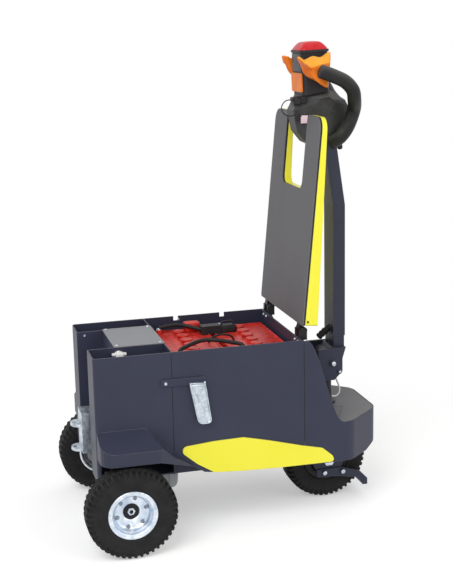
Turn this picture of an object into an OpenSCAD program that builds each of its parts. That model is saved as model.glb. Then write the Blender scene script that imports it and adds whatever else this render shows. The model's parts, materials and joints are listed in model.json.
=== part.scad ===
/* [Length] */
// Reach of the tow jaw beyond the body
hitch_reach = 45; // [40:1:50]
// Length of the drive end, up to the first panel seam
drive_l = 222; // [216:1:236]
// Length of the battery bay, between the two panel seams
bay_l = 392; // [384:1:410]
// Length by which the hood exceeds the steered tyre
hood_over = 3; // [2:1:24]

/* [Body] */
// Width over the side panels
body_w = 412; // [402:1:420]
// Height of the body, from its floor to its open top
body_h = 372; // [360:1:382]
// Rise of the flat hood above the steered tyre
hood_gap = 40; // [37:1:46]
// Thickness of the bodywork sheet
sheet_t = 3; // [2:0.5:4]

/* [Wheels] */
// Diameter over the tread
tyre_d = 260; // [252:1:262]
// Width of a tyre
tyre_w = 85; // [76:1:88]
// Distance between the middles of the two drive wheels
track_w = 543; // [538:1:560]

/* [Lid] */
// Length of the lid
lid_l = 596; // [580:1:604]
// Lean of the open lid past upright, in degrees
lid_lean = 5.6; // [4:0.1:6.5]
// Width of the notch in the lid's free end
notch_w = 190; // [186:1:200]
// Length of that notch
notch_l = 216; // [210:1:220]

/* [Tiller] */
// Width of the tiller mast
mast_w = 80; // [70:1:88]
// Depth of the tiller mast
mast_d = 38; // [32:1:42]
// Width over the two grips
grip_w = 296; // [286:1:306]
// Lean of the upper tiller towards the lid, in degrees
tiller_bend = 8.3; // [7:0.1:9]

/* [Hidden] */
$fn = 48;

// Colours
paint_grey = "#434557";
top_grey = "#6b6a6d";
yellow = "#f8f030";
orange = "#f58220";
red = "#e02a2a";
zinc = "#c9d2da";
black = "#202124";
white = "#f2f2f0";
motor_grey = "#8b8f94";

// Small gaps: a seam between panels, a press seat, a running fit and an overlap for cuts
seam = 0.5;
seat = 0.1;
running = 0.05;
cut = 1;
full_turn = 360;
half_turn = 180;

// Frame: the middle of the part along its length is x = 0, and d counts from the drive end of the body
drive_axle_set = 79;
tyre_reach = tyre_d / 2 - drive_axle_set;
hood_l = tyre_d + hood_over;
overall_l = tyre_reach + drive_l + bay_l + hood_l;
function along(d) = tyre_reach - overall_l / 2 + d;
half_w = body_w / 2;
inner_w = half_w - sheet_t;
bay_x = along(drive_l);
hood_x = along(drive_l + bay_l);
end_x = along(drive_l + bay_l + hood_l);
axle_z = tyre_d / 2;
floor_rise = 58;
floor_z = axle_z + floor_rise;
rim_z = floor_z + body_h;
hood_z = tyre_d + hood_gap;
drive_x = along(drive_axle_set);
steer_gap = 8.5;
steer_x = end_x - tyre_d / 2 - steer_gap;

// Shapes that repeat
function unit(v) = v / norm(v);
function corner(before, at, after, r, steps) =
  let (
    a = unit(before - at),
    b = unit(after - at),
    half = acos(a * b) / 2,
    middle = at + unit(a + b) * r / sin(half),
    first = at + a * r / tan(half) - middle,
    last = at + b * r / tan(half) - middle,
    start = atan2(first.y, first.x),
    sweep = (atan2(last.y, last.x) - start + full_turn + half_turn) % full_turn - half_turn
  )
  [for (i = [0:steps]) middle + r * [cos(start + sweep * i / steps), sin(start + sweep * i / steps)]];
function rounded(points, radii, steps = 5) =
  let (count = len(points))
  [
    for (i = [0:count - 1])
      each radii[i] > 0
        ? corner(points[(i + count - 1) % count], points[i], points[(i + 1) % count], radii[i], steps)
        : [points[i]]
  ];
function rounded_all(points, r, steps = 5) = rounded(points, [for (p = points) r], steps);
function rectangle(low, high) = [low, [high.x, low.y], high, [low.x, high.y]];
function spline_point(a, b, c, d, t) =
  0.5 * (2 * b + (c - a) * t + (2 * a - 5 * b + 4 * c - d) * t * t + (3 * b - a - 3 * c + d) * t * t * t);
function spline(points, steps) =
  let (
    last = len(points) - 1,
    padded = [2 * points[0] - points[1], each points, 2 * points[last] - points[last - 1]]
  )
  [
    for (i = [0:last - 1], k = [0:steps - 1])
      spline_point(padded[i], padded[i + 1], padded[i + 2], padded[i + 3], k / steps),
    points[last]
  ];

function placed(shares, low, high) = [
  for (p = shares) [low.x + p.x * (high.x - low.x), low.y + p.y * (high.y - low.y)]
];

module block(low, high) {
  translate(low)
    cube(high - low);
}

module side_profile(outline, low_y, high_y) {
  translate([0, high_y, 0])
    rotate([90, 0, 0])
      linear_extrude(high_y - low_y)
        polygon(outline);
}

module plan(outline, low_z, high_z) {
  translate([0, 0, low_z])
    linear_extrude(high_z - low_z)
      polygon(outline);
}

module rod_y(x, z, r, low_y, high_y) {
  translate([x, high_y, z])
    rotate([90, 0, 0])
      cylinder(r = r, h = high_y - low_y);
}

module rod_x(y, z, r, low_x, high_x) {
  translate([low_x, y, z])
    rotate([0, 90, 0])
      cylinder(r = r, h = high_x - low_x);
}

module turned_y(x, y, z, profile) {
  translate([x, y, z])
    rotate([90, 0, 0])
      rotate_extrude()
        polygon(profile);
}

module loft(rings) {
  count = len(rings);
  sides = len(rings[0]);
  walls = [
    for (i = [0:count - 2], k = [0:sides - 1])
      [i * sides + k, i * sides + (k + 1) % sides, (i + 1) * sides + (k + 1) % sides, (i + 1) * sides + k]
  ];
  near_cap = [for (k = [sides - 1:-1:0]) k];
  far_cap = [for (k = [0:sides - 1]) (count - 1) * sides + k];
  polyhedron(points = [for (ring = rings) each ring], faces = [near_cap, each walls, far_cap]);
}

module tube_along(path, r, away, sides = 16) {
  last = len(path) - 1;
  loft([
    for (i = [0:last])
      let (
        heading = unit(path[min(i + 1, last)] - path[max(i - 1, 0)]),
        u = unit(cross(heading, away)),
        v = cross(u, heading)
      )
      [for (k = [0:sides - 1]) let (t = full_turn * k / sides) path[i] + r * (cos(t) * u + sin(t) * v)]
  ]);
}

module mirrored() {
  children();
  mirror([0, 1, 0])
    children();
}

// Chassis pan: the floor of the bay with upturned sides and the two plates that hold the axle
floor_t = 4;
floor_top = floor_z + floor_t;
pan_side_h = 112;
pan_side_z = floor_z + pan_side_h;
pan_inset = 6;
pan_start = 20;
pan_wide_set = 120;
pan_narrow_inset = 27;
end_wall_set = 5;
end_wall_x = hood_x - end_wall_set - sheet_t;
saddle_set = 56;
saddle_y = half_w - saddle_set;
saddle_t = 10;
saddle_half = 38;
saddle_drop = 36;
saddle_low = axle_z - saddle_drop;
axle_tube_r = 26;

module chassis_pan() {
  pan_y = inner_w - pan_inset;
  pan_wide_x = bay_x + pan_wide_set;
  pan_narrow_y = inner_w - pan_narrow_inset;
  color(paint_grey) {
    block([along(pan_start), -pan_narrow_y, floor_z], [pan_wide_x, pan_narrow_y, floor_top]);
    block([pan_wide_x - cut, -pan_y, floor_z], [end_wall_x, pan_y, floor_top]);
    mirrored() {
      block(
        [bay_x + sheet_t + seat, -pan_narrow_y, floor_z],
        [pan_wide_x + cut, sheet_t - pan_narrow_y, pan_side_z]
      );
      block([pan_wide_x, -pan_y, floor_z], [end_wall_x, sheet_t - pan_y, pan_side_z]);
    }
    mirrored()
      difference() {
        block(
          [drive_x - saddle_half, -saddle_y - saddle_t, saddle_low],
          [drive_x + saddle_half, -saddle_y, floor_z]
        );
        rod_y(drive_x, axle_z, axle_tube_r + seat, -saddle_y - saddle_t - cut, cut - saddle_y);
      }
  }
}

// Towers at the drive end: a folded sheet on three sides that flares out over the tyre
tower_w = 103;
tower_fold_r = 12;
guard_gap = 8;
guard_low = tyre_d + guard_gap;
guard_h = 37;
guard_z = guard_low + guard_h;
flare_h = 77;
flare_z = guard_low + flare_h;
guard_y = 290;
guard_full = 167;
guard_fold_r = 40;
guard_front_set = 2;
crease_end = 140;
seam_drop = 81;
tail_l = 61;
tail_drop = 55;

module guard_solid(inset) {
  front = along(guard_front_set + inset);
  full = along(guard_full) - inset;
  tail = bay_x + tail_l - inset;
  low = guard_low - inset;
  outline = rounded(
    [
      [front, sheet_t - half_w],
      [front, inset - guard_y],
      [full, inset - guard_y],
      [tail, inset - half_w],
      [bay_x - seam - inset, inset - half_w],
      [bay_x - seam - inset, sheet_t - half_w]
    ],
    [0, guard_fold_r, 0, 0, 0, 0]
  );
  intersection() {
    plan(outline, low - tail_drop, flare_z);
    translate([along(0), 0, 0])
      rotate([90, 0, 90])
        linear_extrude(drive_l + tail_l)
          polygon([
            [-inner_w, low - tail_drop],
            [-inner_w, flare_z - inset],
            [inset - half_w, flare_z - inset],
            [inset - guard_y, guard_z - inset],
            [inset - guard_y, low - tail_drop]
          ]);
    side_profile(
      [
        [front, low],
        [full, low],
        [tail, low - tail_drop],
        [bay_x - guard_gap - inset, flare_z - seam_drop - inset],
        [along(crease_end) - inset, flare_z - inset],
        [front, flare_z - inset]
      ],
      -guard_y, sheet_t - half_w
    );
  }
}

module tower() {
  outer = rounded(
    rectangle([along(0), -half_w], [bay_x - seam, -tower_w]),
    [tower_fold_r, 0, 0, 0]
  );
  inner = rounded(
    rectangle([along(sheet_t), -inner_w], [bay_x + cut, -tower_w - sheet_t]),
    [tower_fold_r - sheet_t, 0, 0, 0]
  );
  difference() {
    plan(outer, floor_top, rim_z);
    plan(inner, floor_top - cut, rim_z + cut);
    side_profile(
      [
        [along(tower_fold_r), floor_z - cut],
        [along(tower_fold_r), flare_z - sheet_t],
        [along(crease_end) - sheet_t, flare_z - sheet_t],
        [bay_x - guard_gap - sheet_t, flare_z - seam_drop - sheet_t],
        [bay_x + cut, flare_z - seam_drop - sheet_t],
        [bay_x + cut, floor_z - cut]
      ],
      -half_w - cut, cut - inner_w
    );
  }
  difference() {
    guard_solid(0);
    guard_solid(sheet_t);
  }
}

module tower_right() {
  color(paint_grey)
    tower();
}

module tower_left() {
  color(paint_grey)
    mirror([0, 1, 0])
      tower();
}

// Walls across the body, and the cover over the controller
recess_d = 78;
cover_over = 3;
cover_t = 2.5;

module cross_wall(x, reach, low, high) {
  block([x, -reach, low], [x + sheet_t, reach, high]);
}

module recess_wall() {
  color(paint_grey)
    cross_wall(along(recess_d), tower_w, floor_top, rim_z);
}

module controller_cover() {
  reach = tower_w + sheet_t - seam;
  color(top_grey)
    block([along(recess_d), -reach, rim_z], [bay_x + cover_over, reach, rim_z + cover_t]);
}

module bay_divider() {
  color(paint_grey)
    difference() {
      cross_wall(bay_x, inner_w, floor_top, rim_z);
      mirrored()
        block(
          [bay_x - cut, -inner_w - cut, floor_top - cut],
          [bay_x + sheet_t + cut, -inner_w + pan_inset + sheet_t + seat, pan_side_z + seat]
        );
    }
}

module bay_end_wall() {
  color(paint_grey)
    cross_wall(end_wall_x, inner_w, floor_z, rim_z);
}

// Side panels of the battery bay: the lower edge climbs towards the drive wheel
panel_low = floor_z;
panel_climb_shares = [[0.306, 0.005], [0.224, 0.016], [0.115, 0.086], [0, 0.175]];
rim_notch_shares = [0.247, 0.628];
rim_notch_w = 15;
rim_notch_depth = 14;

module bay_panel() {
  low = placed(panel_climb_shares, [bay_x + seam, panel_low], [hood_x, rim_z]);
  outline = [
    [bay_x + seam, rim_z],
    [hood_x - seam, rim_z],
    [hood_x - seam, panel_low],
    each low
  ];
  side_profile(outline, -half_w, -inner_w);
}

module bay_panel_right() {
  color(paint_grey)
    bay_panel();
}

module bay_panel_left() {
  color(paint_grey)
    difference() {
      mirror([0, 1, 0])
        bay_panel();
      for (share = rim_notch_shares)
        block(
          [bay_x + share * bay_l, inner_w - cut, rim_z - rim_notch_depth],
          [bay_x + share * bay_l + rim_notch_w, half_w + cut, rim_z + cut]
        );
    }
}

// Hood over the steered wheel: sides that sweep down in an S, cut corners and a flat top
hood_skirt = 122;
hood_low = hood_z - hood_skirt;
hood_flat_half = 100;
hood_corner_set = 117;
hood_fold_r = 55;
sweep_set = 8;
sweep_l = 115;
sweep_drop = 3;
sweep_z = rim_z - sweep_drop;
sweep_steps = 14;
hood_cut_l = 45;
hood_cut_h = 19;

function hood_outline(inset) = rounded(
  [
    [hood_x, inset - half_w],
    [end_x - hood_corner_set, inset - half_w],
    [end_x - inset, -hood_flat_half],
    [end_x - inset, hood_flat_half],
    [end_x - hood_corner_set, half_w - inset],
    [hood_x, half_w - inset]
  ],
  [0, hood_fold_r, hood_fold_r, hood_fold_r, hood_fold_r, 0]
);

module hood_cheek() {
  sweep = [
    for (i = [0:sweep_steps])
      [
        hood_x + sweep_set + sweep_l * i / sweep_steps,
        hood_z + (sweep_z - hood_z) * (1 + cos(half_turn * i / sweep_steps)) / 2
      ]
  ];
  outline = [
    [hood_x, hood_z - cut],
    [hood_x, sweep_z],
    each sweep,
    [hood_x + sweep_set + sweep_l, hood_z - cut]
  ];
  side_profile(outline, -half_w, -inner_w);
}

module hood_shell() {
  color(paint_grey) {
    difference() {
      plan(hood_outline(0), hood_low, hood_z);
      translate([-cut, 0, 0])
        plan(hood_outline(sheet_t), hood_low - cut, hood_z + cut);
      translate([cut, 0, 0])
        plan(hood_outline(sheet_t), hood_low - cut, hood_z + cut);
      side_profile(
        [
          [end_x - hood_cut_l, hood_low - cut],
          [end_x - hood_cut_l, hood_low],
          [end_x + cut, hood_low + hood_cut_h],
          [end_x + cut, hood_low - cut]
        ],
        -half_w, half_w
      );
    }
    mirrored()
      hood_cheek();
  }
}

bearing_r = 36;
bearing_flange_r = 42;
bearing_flange_t = 6;
bearing_drop = 8;

groove_w = 5;
groove_d = 1.5;
groove_shares = [[0.511, 0.362], [0.638, 0.342], [0.425, 0.08]];

module groove(from, to) {
  run = to - from;
  translate([from.x, from.y, hood_z - groove_d])
    rotate([0, 0, atan2(run.y, run.x)])
      translate([-groove_w / 2, -groove_w / 2, 0])
        cube([norm(run) + groove_w, groove_w, groove_d + cut]);
}

module hood_top() {
  bends = placed(groove_shares, [hood_x, -half_w], [end_x, half_w]);
  color(top_grey)
    difference() {
      intersection() {
        plan(hood_outline(sheet_t + seat), hood_z - sheet_t, hood_z);
        block([hood_x, -half_w, 0], [end_x - sheet_t - seat - cut, half_w, rim_z]);
      }
      translate([steer_x, 0, 0])
        cylinder(r = bearing_r + seat, h = rim_z);
      for (i = [0:1])
        groove(bends[i], bends[i + 1]);
    }
}

module steer_bearing() {
  color(black)
    translate([steer_x, 0, 0])
      difference() {
        union() {
          translate([0, 0, hood_z - sheet_t - bearing_drop])
            cylinder(r = bearing_r, h = sheet_t + bearing_drop + cut);
          translate([0, 0, hood_z])
            cylinder(r = bearing_flange_r, h = bearing_flange_t);
        }
        cylinder(r = column_r + running, h = rim_z);
      }
}

// Yellow plates bolted along the lower sides
plate_t = 4;
plate_fold_r = 14;
plate_set = 1;
plate_over = 92;
plate_drop = 7;
plate_low = floor_z - plate_drop;
plate_h = 106;
plate_high = plate_low + plate_h;
plate_end_r = 8;
plate_shares = [
  [0, 0.887], [0.241, 0.981], [0.423, 1], [0.581, 0.83], [0.79, 0.572], [0.922, 0.434], [0.987, 0.179],
  [1, 0], [0.66, 0.009], [0.421, 0.038], [0.237, 0.094], [0.138, 0.377], [0.067, 0.651]
];

module side_plate() {
  outline = rounded(
    placed(plate_shares, [bay_x + plate_set, plate_low], [hood_x + plate_over, plate_high]),
    [plate_fold_r, 0, 0, 0, 0, plate_fold_r, plate_fold_r, plate_end_r, 0, 0, 0, 0, 0]
  );
  side_profile(outline, -half_w - plate_t, -half_w);
}

module side_plate_right() {
  color(yellow)
    side_plate();
}

module side_plate_left() {
  color(yellow)
    mirror([0, 1, 0])
      side_plate();
}

// Batteries: two blocks across the bay, each with a row of six caps
battery_side_gap = 31;
battery_half = inner_w - battery_side_gap;
battery_drop = 38;
battery_top = rim_z - battery_drop;
battery_step = 16;
battery_set = 10;
battery_w = (bay_l - end_wall_set - sheet_t - 2 * battery_set - battery_step) / 2;
cap_r = 15;
cap_h = 9;
cap_count = 6;
cap_step_share = 0.15;
cap_step = 2 * battery_half * cap_step_share;
post_r = 9;
post_h = 14;
post_set = 28;

function battery_x(index) = bay_x + battery_set + index * (battery_w + battery_step);

module battery(index) {
  x = battery_x(index);
  block([x, -battery_half, floor_top], [x + battery_w, battery_half, battery_top]);
  for (k = [0:cap_count - 1])
    translate([x + battery_w / 2, (k - (cap_count - 1) / 2) * cap_step, battery_top])
      cylinder(r = cap_r, h = cap_h);
  mirrored()
    translate([x + post_set, post_set - battery_half, battery_top])
      cylinder(r = post_r, h = post_h);
}

module battery_drive_end() {
  color(red)
    battery(0);
}

module battery_tiller_end() {
  color(red)
    battery(1);
}

// Leads over the batteries, and the plug they end in
lead_r = 6;
lead_lift = 16;
plug_l = 60;
plug_w = 34;
plug_h = 26;
plug_set = 70;
plug_y = battery_half - plug_set;
plug_over = 24;
plug_x = battery_x(1) - battery_step - plug_over;

module battery_leads() {
  post_y = battery_half - post_set;
  first = battery_x(0) + post_set;
  second = battery_x(1) + post_set;
  over = battery_top + post_h + lead_r;
  link = [
    [first, -post_y, over],
    [first + lead_lift, -post_y + lead_lift, over + lead_r],
    [(first + second) / 2, -post_y / 2, over + lead_lift / 2],
    [second - lead_lift, -post_y + lead_lift, over + lead_r],
    [second, -post_y, over]
  ];
  feed = [
    [first, post_y, over],
    [(first + plug_x) / 2, post_y - lead_lift / 2, over + lead_r],
    [plug_x + lead_r, plug_y, battery_top + plug_h / 2]
  ];
  color(black)
    difference() {
      for (route = [link, feed])
        tube_along(spline(route, 6), lead_r, [0, 0, 1], 12);
      plug(seat);
    }
}

module plug(grow) {
  room = [grow, grow, grow];
  block(
    [plug_x, plug_y - plug_w / 2, battery_top + seam] - room,
    [plug_x + plug_l, plug_y + plug_w / 2, battery_top + seam + plug_h] + room
  );
}

module battery_connector() {
  color(black)
    plug(0);
}

// Toggle latch across the first seam: a base plate with a keeper, and a lever that hangs from it
latch_back = 32;
latch_l = 126;
latch_drop = 98;
latch_low = rim_z - latch_drop;
latch_h = 20;
latch_high = latch_low + latch_h;
latch_t = 5;
latch_r = 6;
keeper_r = 6;
keeper_t = 3;
lever_set = 44;
lever_w = 66;
lever_over = 8;
lever_high = latch_low + lever_over;
lever_h = 126;
lever_low = lever_high - lever_h;
lever_t = 11;
lever_shares = [[0, 1], [0.758, 0.971], [1, 0.058], [0.879, 0], [0.515, 0], [0.364, 0.072]];
lever_rib_w = 10;
lever_rib_t = 5;

module latch_base() {
  low = [bay_x - latch_back, latch_low];
  outline = rounded_all(rectangle(low, [low.x + latch_l, latch_high]), latch_r);
  side_profile(outline, -half_w - latch_t, -half_w);
  rod_y(
    low.x + latch_r + keeper_r, (latch_low + latch_high) / 2, keeper_r,
    -half_w - latch_t - keeper_t, -half_w
  );
}

module latch_lever() {
  low = [bay_x + lever_set, lever_low];
  outline = rounded_all(placed(lever_shares, low, [low.x + lever_w, lever_high]), latch_r);
  back = -half_w - latch_t;
  side_profile(outline, back - lever_t, back);
  rod_y(low.x + lever_w / 2, lever_low + lever_w / 2, lever_rib_w, back - cut, -half_w);
  rod_y(low.x + lever_w / 2, latch_low, lever_rib_w, back - lever_t - lever_rib_t, back - lever_t + cut);
}

module latch_base_right() {
  color(paint_grey)
    latch_base();
}

module latch_base_left() {
  color(paint_grey)
    mirror([0, 1, 0])
      latch_base();
}

module latch_right() {
  color(zinc)
    latch_lever();
}

module latch_left() {
  color(zinc)
    mirror([0, 1, 0])
      latch_lever();
}

// Tow bracket: a channel out of the recess with two drilled tongues
tow_rise = 39;
tow_low = floor_z + tow_rise;
tow_h = 123;
tow_high = tow_low + tow_h;
tow_half = 36;
tow_t = 8;
tow_face = 8;
tongue_r = 30;
tongue_set = 5;
tongue_low = tow_low + tongue_set;
tongue_rise = 75;
tow_hole_r = 11;
tow_hole_d = 16;

module tow_bracket() {
  face_x = along(-tow_face);
  color(zinc)
    difference() {
      union() {
        block([face_x - tow_t, -tow_half, tow_low], [face_x, tow_half, tow_high]);
        block([face_x - cut, -tow_half, tow_high - tow_t], [along(recess_d), tow_half, tow_high]);
        block([face_x - cut, -tow_half, tow_low], [along(recess_d), tow_half, tow_low + tow_t]);
        mirrored()
          block([face_x - cut, -tow_half, tow_low], [along(recess_d), tow_t - tow_half, tow_high]);
        for (rise = [0, tongue_rise])
          translate([along(-hitch_reach) + tongue_r, 0, tongue_low + rise]) {
            cylinder(r = tongue_r, h = tow_t);
            translate([0, -tongue_r, 0])
              cube([face_x - along(-hitch_reach) - tongue_r - tow_t / 2, 2 * tongue_r, tow_t]);
          }
      }
      translate([along(-hitch_reach) + tow_hole_d, 0, tongue_low - cut])
        cylinder(r = tow_hole_r, h = tongue_rise + tow_t + 2 * cut);
    }
}

// Transaxle with its tubes, and the motor that drives it
axle_tube_end = 232;
axle_flange_r = 45;
axle_flange_t = 8;
stub_r = 14;
diff_r = 58;
diff_half = 48;
motor_r = 52;
motor_start = 138;
motor_end = 262;
motor_cap = 6;

module transaxle() {
  color(motor_grey)
    difference() {
      union() {
        rod_y(drive_x, axle_z, axle_tube_r, -axle_tube_end, axle_tube_end);
        rod_y(drive_x, axle_z, diff_r - motor_cap, -diff_half, diff_half);
        rod_x(0, axle_z, diff_r - 2 * motor_cap, drive_x, along(motor_start));
        mirrored()
          rod_y(drive_x, axle_z, axle_flange_r, -axle_tube_end, axle_flange_t - axle_tube_end);
      }
      mirrored()
        rod_y(drive_x, axle_z, stub_r + running, -axle_tube_end - cut, -saddle_y);
    }
}

module drive_motor() {
  color(motor_grey) {
    rod_x(0, axle_z, motor_r, along(motor_start), along(motor_end));
    rod_x(0, axle_z, motor_r - 2 * motor_cap, along(motor_end) - cut, along(motor_end) + motor_cap);
  }
}

// Charger socket inside the right tower
socket_x = 68;
socket_l = 42;
socket_w = 30;
socket_h = 34;
socket_drop = 6;

module charger_socket() {
  color(white)
    block(
      [along(socket_x), -tower_w - sheet_t - socket_w, rim_z - socket_drop - socket_h],
      [along(socket_x + socket_l), -tower_w - sheet_t, rim_z - socket_drop]
    );
}

// Wheels
bead_r = 58;
flange_r = 71;
rim_half = 38;
flange_t = 3.5;
well_t = 4;
tread_half_share = 0.4;
bulge_share = 0.62;
shoulder_drop = 12;
disc_out = 14;
disc_t = 6;
stud_count = 5;
stud_r = 6;
stud_h = 6;
stud_ring_r = 40;
hub_r = 34;
cap_hub_r = 21;
cap_hub_l = 10;
hub_gap = 2;
wheel_y = track_w / 2;

module tyre(x, y) {
  crown = tyre_d / 2;
  bulge = bead_r + (crown - bead_r) * bulge_share;
  bead_half = rim_half - flange_t - seat;
  color(black)
    turned_y(x, y, axle_z, [
      [bead_r + seat, -bead_half],
      [flange_r + seat, -bead_half],
      [bulge, -tyre_w / 2],
      [crown - shoulder_drop, -tyre_w / 2],
      [crown, -tyre_w * tread_half_share],
      [crown, tyre_w * tread_half_share],
      [crown - shoulder_drop, tyre_w / 2],
      [bulge, tyre_w / 2],
      [flange_r + seat, bead_half],
      [bead_r + seat, bead_half]
    ]);
}

module rim_ring(x, y) {
  turned_y(x, y, axle_z, [
    [bead_r - well_t, -rim_half],
    [flange_r, -rim_half],
    [flange_r, flange_t - rim_half],
    [bead_r, flange_t - rim_half],
    [bead_r, rim_half - flange_t],
    [flange_r, rim_half - flange_t],
    [flange_r, rim_half],
    [bead_r - well_t, rim_half]
  ]);
}

module stud(turn) {
  translate([drive_x, disc_out - disc_t - wheel_y + cut, axle_z])
    rotate([0, turn, 0])
      translate([0, 0, stud_ring_r])
        rotate([90, 0, 0])
          cylinder(r = stud_r, h = stud_h + cut, $fn = 6);
}

module drive_rim() {
  color(zinc)
    difference() {
      union() {
        rim_ring(drive_x, -wheel_y);
        rod_y(drive_x, axle_z, bead_r, disc_out - disc_t - wheel_y, disc_out - wheel_y);
        for (k = [0:stud_count - 1])
          stud(full_turn * k / stud_count);
      }
      rod_y(drive_x, axle_z, cap_hub_r + seat, -wheel_y - disc_t, disc_t + disc_out - wheel_y);
    }
}

module drive_hub() {
  inner = -axle_tube_end - hub_gap;
  color(black) {
    rod_y(drive_x, axle_z, hub_r, disc_out - wheel_y, inner);
    rod_y(drive_x, axle_z, cap_hub_r, disc_out - disc_t - wheel_y - cap_hub_l, disc_out - wheel_y + cut);
    rod_y(drive_x, axle_z, stub_r, inner - cut, -saddle_y - saddle_t);
  }
}

module drive_tyre_right() {
  tyre(drive_x, -wheel_y);
}

module drive_rim_right() {
  drive_rim();
}

module drive_hub_right() {
  drive_hub();
}

module drive_tyre_left() {
  tyre(drive_x, wheel_y);
}

module drive_rim_left() {
  mirror([0, 1, 0])
    drive_rim();
}

module drive_hub_left() {
  mirror([0, 1, 0])
    drive_hub();
}

steer_pin_r = 12;
steer_hub_r = 28;

module steer_tyre() {
  tyre(steer_x, 0);
}

module steer_rim() {
  hub_half = fork_inner - hub_gap;
  color(black)
    difference() {
      union() {
        rim_ring(steer_x, 0);
        rod_y(steer_x, axle_z, bead_r, -disc_t / 2, disc_t / 2);
        rod_y(steer_x, axle_z, steer_hub_r, -hub_half, hub_half);
      }
      rod_y(steer_x, axle_z, steer_pin_r + running, -hub_half - cut, hub_half + cut);
    }
}

// Lid: drawn in its own frame, where z runs along the lid from the hinge and x points outwards
hinge_set = 8;
hinge_rise = 23;
hinge_x = hood_x + hinge_set;
hinge_z = rim_z + hinge_rise;
hinge_inset = 46;
hinge_y = half_w - hinge_inset;
hinge_r = 9;
hinge_pin_r = 5;
lid_start = 18;
lid_face = -15.2;
lid_panel_t = 3;
lid_seal_t = 5;
lid_seal_w = 8;
lid_over = 3;
lid_half = half_w + lid_over;
lid_thin = 21;
lid_thick = 46;
lid_skin = 3;
lid_corner_r = 36;
notch_corner_r = 26;
notch_lip_r = 12;
lid_root_r = 8;
lid_end = lid_start + lid_l;

module in_lid() {
  translate([hinge_x, 0, hinge_z])
    rotate([0, lid_lean, 0])
      children();
}

function lid_outline(inset) = rounded(
  [
    [inset - lid_half, lid_start],
    [lid_half - inset, lid_start],
    [lid_half - inset, lid_end - inset],
    [notch_w / 2 + inset, lid_end - inset],
    [notch_w / 2 + inset, lid_end - notch_l - inset],
    [-notch_w / 2 - inset, lid_end - notch_l - inset],
    [-notch_w / 2 - inset, lid_end - inset],
    [inset - lid_half, lid_end - inset]
  ],
  [
    lid_root_r, lid_root_r, lid_corner_r, notch_lip_r, notch_corner_r, notch_corner_r, notch_lip_r,
    lid_corner_r
  ]
);

module lid_slab(inset, low_x, high_x) {
  translate([low_x, 0, 0])
    rotate([90, 0, 90])
      linear_extrude(high_x - low_x)
        polygon(lid_outline(inset));
}

module lid_wedge(front, skin) {
  side_profile(
    [
      [front, lid_start - skin],
      [front, lid_end],
      [lid_face + lid_thin - skin, lid_end],
      [lid_face + lid_thick - skin, lid_start - skin]
    ],
    -lid_half - cut, lid_half + cut
  );
}

module lid_cover() {
  front = lid_face + lid_panel_t + lid_seal_t;
  reach = lid_face + lid_thick + cut;
  color(yellow)
    in_lid()
      difference() {
        intersection() {
          lid_slab(0, front, reach);
          lid_wedge(front, 0);
        }
        intersection() {
          union() {
            lid_slab(lid_skin, front - cut, reach);
            translate([0, 0, -cut])
              lid_slab(lid_skin, front - cut, reach);
          }
          lid_wedge(front - cut, lid_skin);
        }
      }
}

module lid_panel() {
  color(top_grey)
    in_lid()
      lid_slab(0, lid_face, lid_face + lid_panel_t);
}

module lid_seal() {
  back = lid_face + lid_panel_t;
  color(black)
    in_lid()
      difference() {
        lid_slab(0, back, back + lid_seal_t);
        lid_slab(lid_seal_w, back - cut, back + lid_seal_t + cut);
      }
}

strap_half = 11.5;
strap_l = 64;
strap_t = 5;
lug_gap = 0.5;
hinge_half = 26;
leaf_h = 40;
leaf_low = rim_z - leaf_h;
leaf_t = 5;

module lid_hinge_straps() {
  back = lid_face + lid_panel_t;
  color(black)
    in_lid()
      for (side = [-1, 1])
        translate([0, side * hinge_y, 0])
          difference() {
            union() {
              rod_y(0, 0, hinge_r, -strap_half, strap_half);
              block([back, -strap_half, 0], [0, strap_half, hinge_r + strap_t]);
              block([back, -strap_half, 0], [back + strap_t, strap_half, strap_l]);
            }
            rod_y(0, 0, hinge_pin_r + running, -strap_half - cut, strap_half + cut);
          }
}

module lid_hinge_bases() {
  wall_x = end_wall_x + sheet_t;
  color(black)
    for (side = [-1, 1])
      translate([0, side * hinge_y, 0]) {
        block([wall_x, -hinge_half, leaf_low], [wall_x + leaf_t, hinge_half, rim_z]);
        mirrored() {
          rod_y(hinge_x, hinge_z, hinge_r, -hinge_half, -strap_half - lug_gap);
          block(
            [wall_x, -hinge_half, rim_z - leaf_t],
            [hinge_x + hinge_r - cut, -strap_half - lug_gap, hinge_z]
          );
        }
        rod_y(hinge_x, hinge_z, hinge_pin_r, -hinge_half, hinge_half);
      }
}

// Steering: column, fork, axle and clevis turn together about the upright axis
column_r = 30;
crown_gap = 6;
crown_z = tyre_d + crown_gap;
crown_t = 16;
crown_half_l = 58;
fork_inner = 52;
fork_t = 8;
fork_half_l = 48;
fork_end_r = 50;
clevis_rise = 84;
clevis_z = hood_z + clevis_rise;
clevis_t = 8;

module steer_column() {
  color(black)
    translate([steer_x, 0, crown_z + crown_t])
      cylinder(r = column_r, h = clevis_z - crown_z - crown_t);
}

module steer_fork() {
  reach = fork_inner + fork_t;
  color(black) {
    plan(
      rounded_all(rectangle([steer_x - crown_half_l, -reach], [steer_x + crown_half_l, reach]), fork_t),
      crown_z, crown_z + crown_t
    );
    mirrored()
      difference() {
        union() {
          block([steer_x - fork_half_l, -reach, axle_z], [steer_x + fork_half_l, -fork_inner, crown_z + cut]);
          rod_y(steer_x, axle_z, fork_end_r, -reach, -fork_inner);
        }
        rod_y(steer_x, axle_z, steer_pin_r + seat, -reach - cut, cut - fork_inner);
      }
  }
}

axle_nut_r = 19;
axle_nut_t = 10;

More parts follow.
